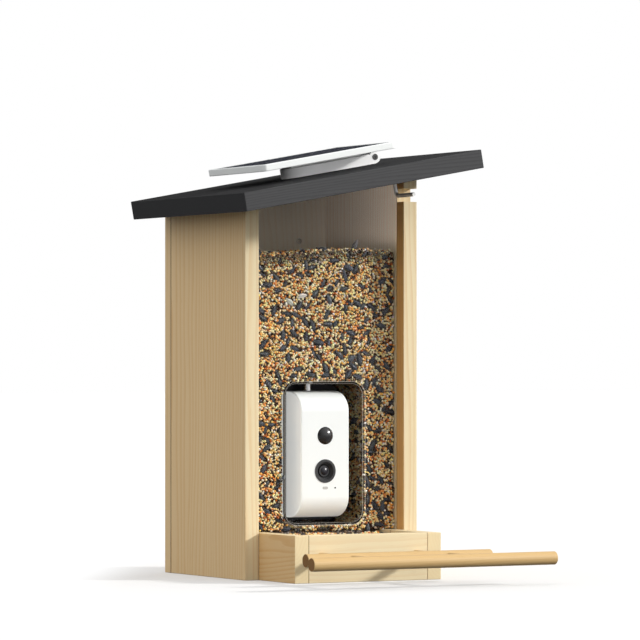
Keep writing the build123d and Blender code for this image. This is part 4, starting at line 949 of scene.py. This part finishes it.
def seed_face(name, wide, tall, to_place, keep, sunflower_count, pieces=1, dust=None):
    """Grains, shared out over some pieces, and sunflower seeds over one face of the seed. to_place turns
    places on the face and depths under it into points, keep says which places hold seed, with a margin
    from the edge, and dust says how dark the painted shade makes the grains there."""
    spots = np.zeros((0, 2))
    tries = 0
    while len(spots) < sunflower_count and tries < TRIES_EACH * sunflower_count:
        spot = chance.uniform((0, 0), (wide, tall))
        tries += 1
        far = len(spots) == 0 or np.min(np.linalg.norm(spots - spot, axis=1)) > SUNFLOWER_APART
        if far and keep(spot[None, :], SUNFLOWER_MARGIN)[0]:
            spots = np.vstack([spots, spot])
    angles = chance.uniform(0, math.pi, size=len(spots))
    seed_sizes = chance.uniform(*SUNFLOWER_SIZES, size=len(spots))
    seed_depths = chance.uniform(*SUNFLOWER_DEPTHS, size=len(spots)) * MM
    grains = []
    for layer, (depth, spread, shade) in enumerate(LAYERS):
        grid = lattice(wide, tall, MILLET_PITCH, MILLET_JITTER)
        grid = grid[keep(grid, MILLET_MARGIN)]
        if layer == 0:
            apart = grid[:, None, :] - spots[None, :, :]
            lengthwise = apart[:, :, 0] * np.cos(angles) + apart[:, :, 1] * np.sin(angles)
            sideways = -apart[:, :, 0] * np.sin(angles) + apart[:, :, 1] * np.cos(angles)
            inside = (lengthwise / (SUNFLOWER_HALF * seed_sizes)) ** 2
            inside += (sideways / (SUNFLOWER_HALF * SUNFLOWER_WIDE * seed_sizes)) ** 2
            grid = grid[inside.min(axis=1) > SUNFLOWER_ROOM]
        depths = depth * MM + chance.uniform(-spread, spread, size=len(grid)) * MM
        shades = np.full(len(grid), shade)
        if dust:
            shades *= dust(grid)
        grains.append(np.column_stack([grid, np.maximum(depths, LEAST_DEPTH), shades]))
    grains = np.vstack(grains)
    places = to_place(grains)
    order = np.arange(len(places))
    for piece in range(pieces):
        own = order % pieces == piece
        label = name if pieces == 1 else f"{name}_{piece + 1}"
        poured(
            f"{label}_millet",
            millet_seed,
            places[own],
            tumbled(own.sum()),
            chance.uniform(*MILLET_SIZES, size=own.sum()),
            tints(MILLET_TINTS, MILLET_SHARES, own.sum()) * grains[own, 3:],
        )
    step = np.column_stack([np.cos(angles), np.sin(angles)]) * MM
    centre = to_place(np.column_stack([spots, seed_depths]))
    length = unit(to_place(np.column_stack([spots + step, seed_depths])) - centre)
    inward = unit(to_place(np.column_stack([spots, seed_depths + MM])) - centre)
    wide_way = unit(np.cross(inward, length))
    turns = np.stack([wide_way, np.cross(length, wide_way), length], axis=2)
    rock = chance.uniform(-SUNFLOWER_ROCK, SUNFLOWER_ROCK, size=len(spots))
    rocked = turns.copy()
    rocked[:, :, 2] = turns[:, :, 2] * np.cos(rock)[:, None] + turns[:, :, 1] * np.sin(rock)[:, None]
    rocked[:, :, 1] = turns[:, :, 1] * np.cos(rock)[:, None] - turns[:, :, 2] * np.sin(rock)[:, None]
    husks = tints(SUNFLOWER_TINTS, SUNFLOWER_SHARES, len(spots))
    poured(f"{name}_sunflower", sunflower_seed, centre, rocked, seed_sizes, husks)


# Seed behind the window: the face of the heap that fills the hopper, from the window's ledge up to a
# wavy line just under the roof. It leaves out the camera pocket and its wall.
hopper_low, hopper_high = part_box("hopper_seed")
dock_low, dock_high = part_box("camera_dock")
WINDOW_LEDGE = 45.3 * MM
POCKET_WALL = 2.5 * MM
POCKET_CORNER = 11.5 * MM
DOCK_MARGIN = 1 * MM
SEED_GAP = 0.3 * MM
RIM_SHARE = 0.4
LEDGE_SHARE = 0.2
# Each wave's height in mm, its pace to the right and to the back, and where it starts
HEAP_WAVES = ((1.3, 55, 0, 0.6), (0.9, 130, 70, 0), (0.9, 610, 450, 0))
RIPPLE = 0.8
RIPPLE_PACE = 1130
SWING = 2
SWING_PACE = 260
HEAP_RISE = 42
HEAP_MEAN = 0.9
TOP_SHADE = 0.13
TOP_BAND = 15 * MM
TOP_FADE = 1.5
FRONT_SUNFLOWERS = 165
hopper_wide = hopper_high.x - hopper_low.x
hopper_tall = hopper_high.z - WINDOW_LEDGE
pocket_low_z = dock_low.z - DOCK_MARGIN
pocket_high_z = dock_high.z + DOCK_MARGIN
pocket_middle_z = (pocket_low_z + pocket_high_z) / 2
wall_half_x = dock_high.x + DOCK_MARGIN + POCKET_WALL + SEED_GAP
wall_half_z = (pocket_high_z - pocket_low_z) / 2 + POCKET_WALL + SEED_GAP
wall_corner = POCKET_CORNER + POCKET_WALL + SEED_GAP


def off_pocket(x, z):
    """How far a place on the window's back lies outside the pocket's wall."""
    dx = np.abs(x) - (wall_half_x - wall_corner)
    dz = np.abs(z - pocket_middle_z) - (wall_half_z - wall_corner)
    outside = np.hypot(np.maximum(dx, 0), np.maximum(dz, 0)) + np.minimum(np.maximum(dx, dz), 0)
    return outside - wall_corner


def heap(x, y):
    """How far the seed's top lies above or below its mean height: waves, and a rise to the right."""
    waves = sum(high * np.sin(x * right + y * back + start) for high, right, back, start in HEAP_WAVES)
    ripple = RIPPLE * np.sin(x * RIPPLE_PACE + SWING * np.sin(x * SWING_PACE))
    return MM * (waves + (ripple + HEAP_RISE * x) - HEAP_MEAN)


def top_dust(spots):
    """The last grains under the roof get painted shade, for the roof's shadow on them."""
    under_top = hopper_tall - spots[:, 1] + heap(spots[:, 0] + hopper_low.x, 0)
    return TOP_SHADE + (1 - TOP_SHADE) * np.clip(under_top / TOP_BAND, 0, 1) ** TOP_FADE


def front_keep(spots, margin):
    """Within the hopper's sides, over the ledge, under the heap's top and off the pocket."""
    x = spots[:, 0] + hopper_low.x
    z = spots[:, 1] + WINDOW_LEDGE
    inside = (spots[:, 0] > margin) & (spots[:, 0] < hopper_wide - margin)
    inside &= (spots[:, 1] > LEDGE_SHARE * margin) & (z < hopper_high.z + heap(x, 0) - margin)
    return inside & (off_pocket(x, z) > RIM_SHARE * margin)


def front_place(spots):
    """Upright, with depths that go back from the window."""
    return np.column_stack(
        [spots[:, 0] + hopper_low.x, hopper_low.y + spots[:, 2], spots[:, 1] + WINDOW_LEDGE]
    )


seed_face(
    "seed_front",
    hopper_wide,
    hopper_tall,
    front_place,
    front_keep,
    FRONT_SUNFLOWERS,
    pieces=3,
    dust=top_dust,
)

# Seed's top in the hopper: an uneven heap from side to side, just under the roof.
# It shows when the roof is open.
TOP_SUNFLOWERS = 90
hopper_deep = hopper_high.y - hopper_low.y


def top_keep(spots, margin):
    """Within the hopper's four walls."""
    inside = (spots[:, 0] > margin) & (spots[:, 0] < hopper_wide - margin)
    return inside & (spots[:, 1] > margin) & (spots[:, 1] < hopper_deep - margin)


def top_place(spots):
    """Level but for the heap's waves, with depths that go down."""
    x = spots[:, 0] + hopper_low.x
    y = spots[:, 1] + hopper_low.y
    return np.column_stack([x, y, hopper_high.z + heap(x, y) - spots[:, 2]])


seed_face("seed_top", hopper_wide, hopper_deep, top_place, top_keep, TOP_SUNFLOWERS, pieces=2)

# Stray sunflower seeds: a few came to rest on top of the heap, near the window.
# The first of them stands up over the rest.
STRAY_COUNT = 5
STRAY_MARGIN = 8 * MM
STRAY_BACK = (2.5, 9)
STRAY_UP = (-1.8, 0.2)
STRAY_SIZES = (0.75, 1.0)
TALL_X = 37 * MM
TALL_UP = 3.4 * MM
TALL_LEAN = math.radians(28)
TALL_SIZE = 1.08
stray_x = chance.uniform(hopper_low.x + STRAY_MARGIN, hopper_high.x - STRAY_MARGIN, size=STRAY_COUNT)
stray_y = hopper_low.y + chance.uniform(*STRAY_BACK, size=STRAY_COUNT) * MM
stray_up = chance.uniform(*STRAY_UP, size=STRAY_COUNT) * MM
stray_turns = tumbled(STRAY_COUNT)
stray_sizes = chance.uniform(*STRAY_SIZES, size=STRAY_COUNT)
stray_tints = tints(SUNFLOWER_TINTS, SUNFLOWER_SHARES, STRAY_COUNT)
stray_x[0] = TALL_X
stray_up[0] = TALL_UP
stray_turns[0] = Matrix.Rotation(TALL_LEAN, 3, "Y")
stray_sizes[0] = TALL_SIZE
stray_tints[0] = SUNFLOWER_TINTS[1]
stray_z = hopper_high.z + heap(stray_x, stray_y) + stray_up
stray_spots = np.column_stack([stray_x, stray_y, stray_z])
poured("seed_stray_sunflower", sunflower_seed, stray_spots, stray_turns, stray_sizes, stray_tints)

# Seed round the pocket: grains lie against the outside of its clear walls and show through them.
# The face is the wall's own, unrolled, and runs round it and back from the window.
POCKET_SHADE = 0.35
POCKET_SUNFLOWERS = 60
straight_x = 2 * (wall_half_x - wall_corner)
straight_z = 2 * (wall_half_z - wall_corner)
quarter = wall_corner * math.pi / 2
pocket_round = 2 * (straight_x + straight_z) + 4 * quarter
pocket_run = dock_high.y + POCKET_WALL - hopper_low.y


def round_pocket(distance, out):
    """Points at a distance round the pocket's wall and another out from it."""
    distance = np.mod(distance, pocket_round)
    x = np.zeros_like(distance)
    z = np.zeros_like(distance)
    start = 0.0
    corners = ((1, -1, -90), (1, 1, 0), (-1, 1, 90), (-1, -1, 180))
    sides = (straight_x, straight_z, straight_x, straight_z)
    for (side_x, side_z, angle), run in zip(corners, sides):
        turn = math.radians(angle)
        normal = (math.cos(turn), math.sin(turn))
        centre_x = side_x * (wall_half_x - wall_corner)
        centre_z = side_z * (wall_half_z - wall_corner)
        along = distance - start
        flat = (along >= 0) & (along < run)
        x[flat] = centre_x + normal[0] * (wall_corner + out[flat]) + normal[1] * (run - along[flat])
        z[flat] = centre_z + normal[1] * (wall_corner + out[flat]) - normal[0] * (run - along[flat])
        bend = (along >= run) & (along < run + quarter)
        turned = turn + (along[bend] - run) / wall_corner
        x[bend] = centre_x + np.cos(turned) * (wall_corner + out[bend])
        z[bend] = centre_z + np.sin(turned) * (wall_corner + out[bend])
        start += run + quarter
    return x, z + pocket_middle_z


def pocket_keep(spots, margin):
    """From the window to the pocket's back."""
    return (spots[:, 1] > RIM_SHARE * margin) & (spots[:, 1] < pocket_run - margin)


def pocket_place(spots):
    """Round the wall, with depths that go out from it."""
    x, z = round_pocket(spots[:, 0], spots[:, 2])
    return np.column_stack([x, hopper_low.y + spots[:, 1], z])


def pocket_dust(spots):
    """Grains round the pocket get painted deep shade."""
    return np.full(len(spots), POCKET_SHADE)


seed_face(
    "seed_pocket",
    pocket_round,
    pocket_run,
    pocket_place,
    pocket_keep,
    POCKET_SUNFLOWERS,
    dust=pocket_dust,
)

# Seed in the tray: it has run out under the window's lower edge,
# and slopes down from there to the front board.
tray_low, tray_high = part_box("tray_seed")
TRAY_FRONT_TOP = 27 * MM
TRAY_WAVE = 0.6 * MM
TRAY_PACE_X = 90
TRAY_PACE_Y = 110
TRAY_SUNFLOWERS = 60
BACK_SHARE = 0.5
tray_wide = tray_high.x - tray_low.x
tray_deep = window_front - tray_low.y
tray_slope = math.atan2(tray_high.z - TRAY_FRONT_TOP, tray_deep)
tray_run = tray_deep / math.cos(tray_slope)


def tray_keep(spots, margin):
    """Within the tray's boards, and up to the window."""
    inside = (spots[:, 0] > margin) & (spots[:, 0] < tray_wide - margin)
    return inside & (spots[:, 1] > margin) & (spots[:, 1] < tray_run + BACK_SHARE * margin)


def tray_place(spots):
    """Along the slope, with low waves, and with depths square to it."""
    x = spots[:, 0] + tray_low.x
    y = tray_low.y + spots[:, 1] * math.cos(tray_slope) + spots[:, 2] * math.sin(tray_slope)
    z = TRAY_FRONT_TOP + spots[:, 1] * math.sin(tray_slope) - spots[:, 2] * math.cos(tray_slope)
    wave = TRAY_WAVE * np.sin(x * TRAY_PACE_X) * np.sin(y * TRAY_PACE_Y)
    return np.column_stack([x, y, z + wave])


seed_face("seed_tray", tray_wide, tray_run, tray_place, tray_keep, TRAY_SUNFLOWERS)

# Bed: the mass of seed behind the grains that show, near black as painted deep shade. It is a copy of
# each plain seed solid, sunk under the grains, and replaces that solid.
BED_SINK = 2.6 * MM
BED_TOP = 8 * MM
BED_DROP = 1.8 * MM
BED_SCALE = 430.0
# Near-black colours of painted deep shade between the grains
BED_SHADE_STOPS = [
    (0.0, (0.008, 0.004, 0.003, 1)),
    (0.6, (0.04, 0.018, 0.006, 1)),
    (0.85, (0.10, 0.05, 0.018, 1)),
]
SAME_PLACE = 0.01 * MM
bed_skin, tree, shader = new_finish("seed_bed")
place = put(tree, "ShaderNodeTexCoord")
cells = put(tree, "ShaderNodeTexVoronoi", {"Vector": place.outputs["Object"], "Scale": BED_SCALE})
cell_values = put(tree, "ShaderNodeSeparateColor", {0: cells.outputs["Color"]})
tree.links.new(stepped_ramp(tree, cell_values.outputs[0], BED_SHADE_STOPS), shader.inputs["Base Color"])
roughen(tree, shader, cell_values.outputs[1], change=0.2, middle=0.6)
emboss(tree, shader, cells.outputs["Distance"], strength=1.0, distance=0.8 * MM, invert=True)
for name in ("hopper_seed", "tray_seed"):
    bed = bpy.data.objects.new(f"{name}_bed", nodes[name].data.copy())
    scene.collection.objects.link(bed)
    bpy.ops.object.select_all(action="DESELECT")
    bed.select_set(True)
    bpy.context.view_layer.objects.active = bed
    bpy.ops.object.mode_set(mode="EDIT")
    bpy.ops.mesh.select_all(action="SELECT")
    bpy.ops.mesh.remove_doubles(threshold=SAME_PLACE)
    bpy.ops.transform.shrink_fatten(value=-BED_SINK, use_even_offset=True)
    bpy.ops.object.mode_set(mode="OBJECT")
    if name == "hopper_seed":
        for vertex in bed.data.vertices:
            if vertex.co.z > hopper_high.z - BED_TOP:
                vertex.co.z += heap(vertex.co.x, vertex.co.y) - BED_DROP
    bed.data.materials.clear()
    bed.data.materials.append(bed_skin)
    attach(bed, "body")
    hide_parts(name)
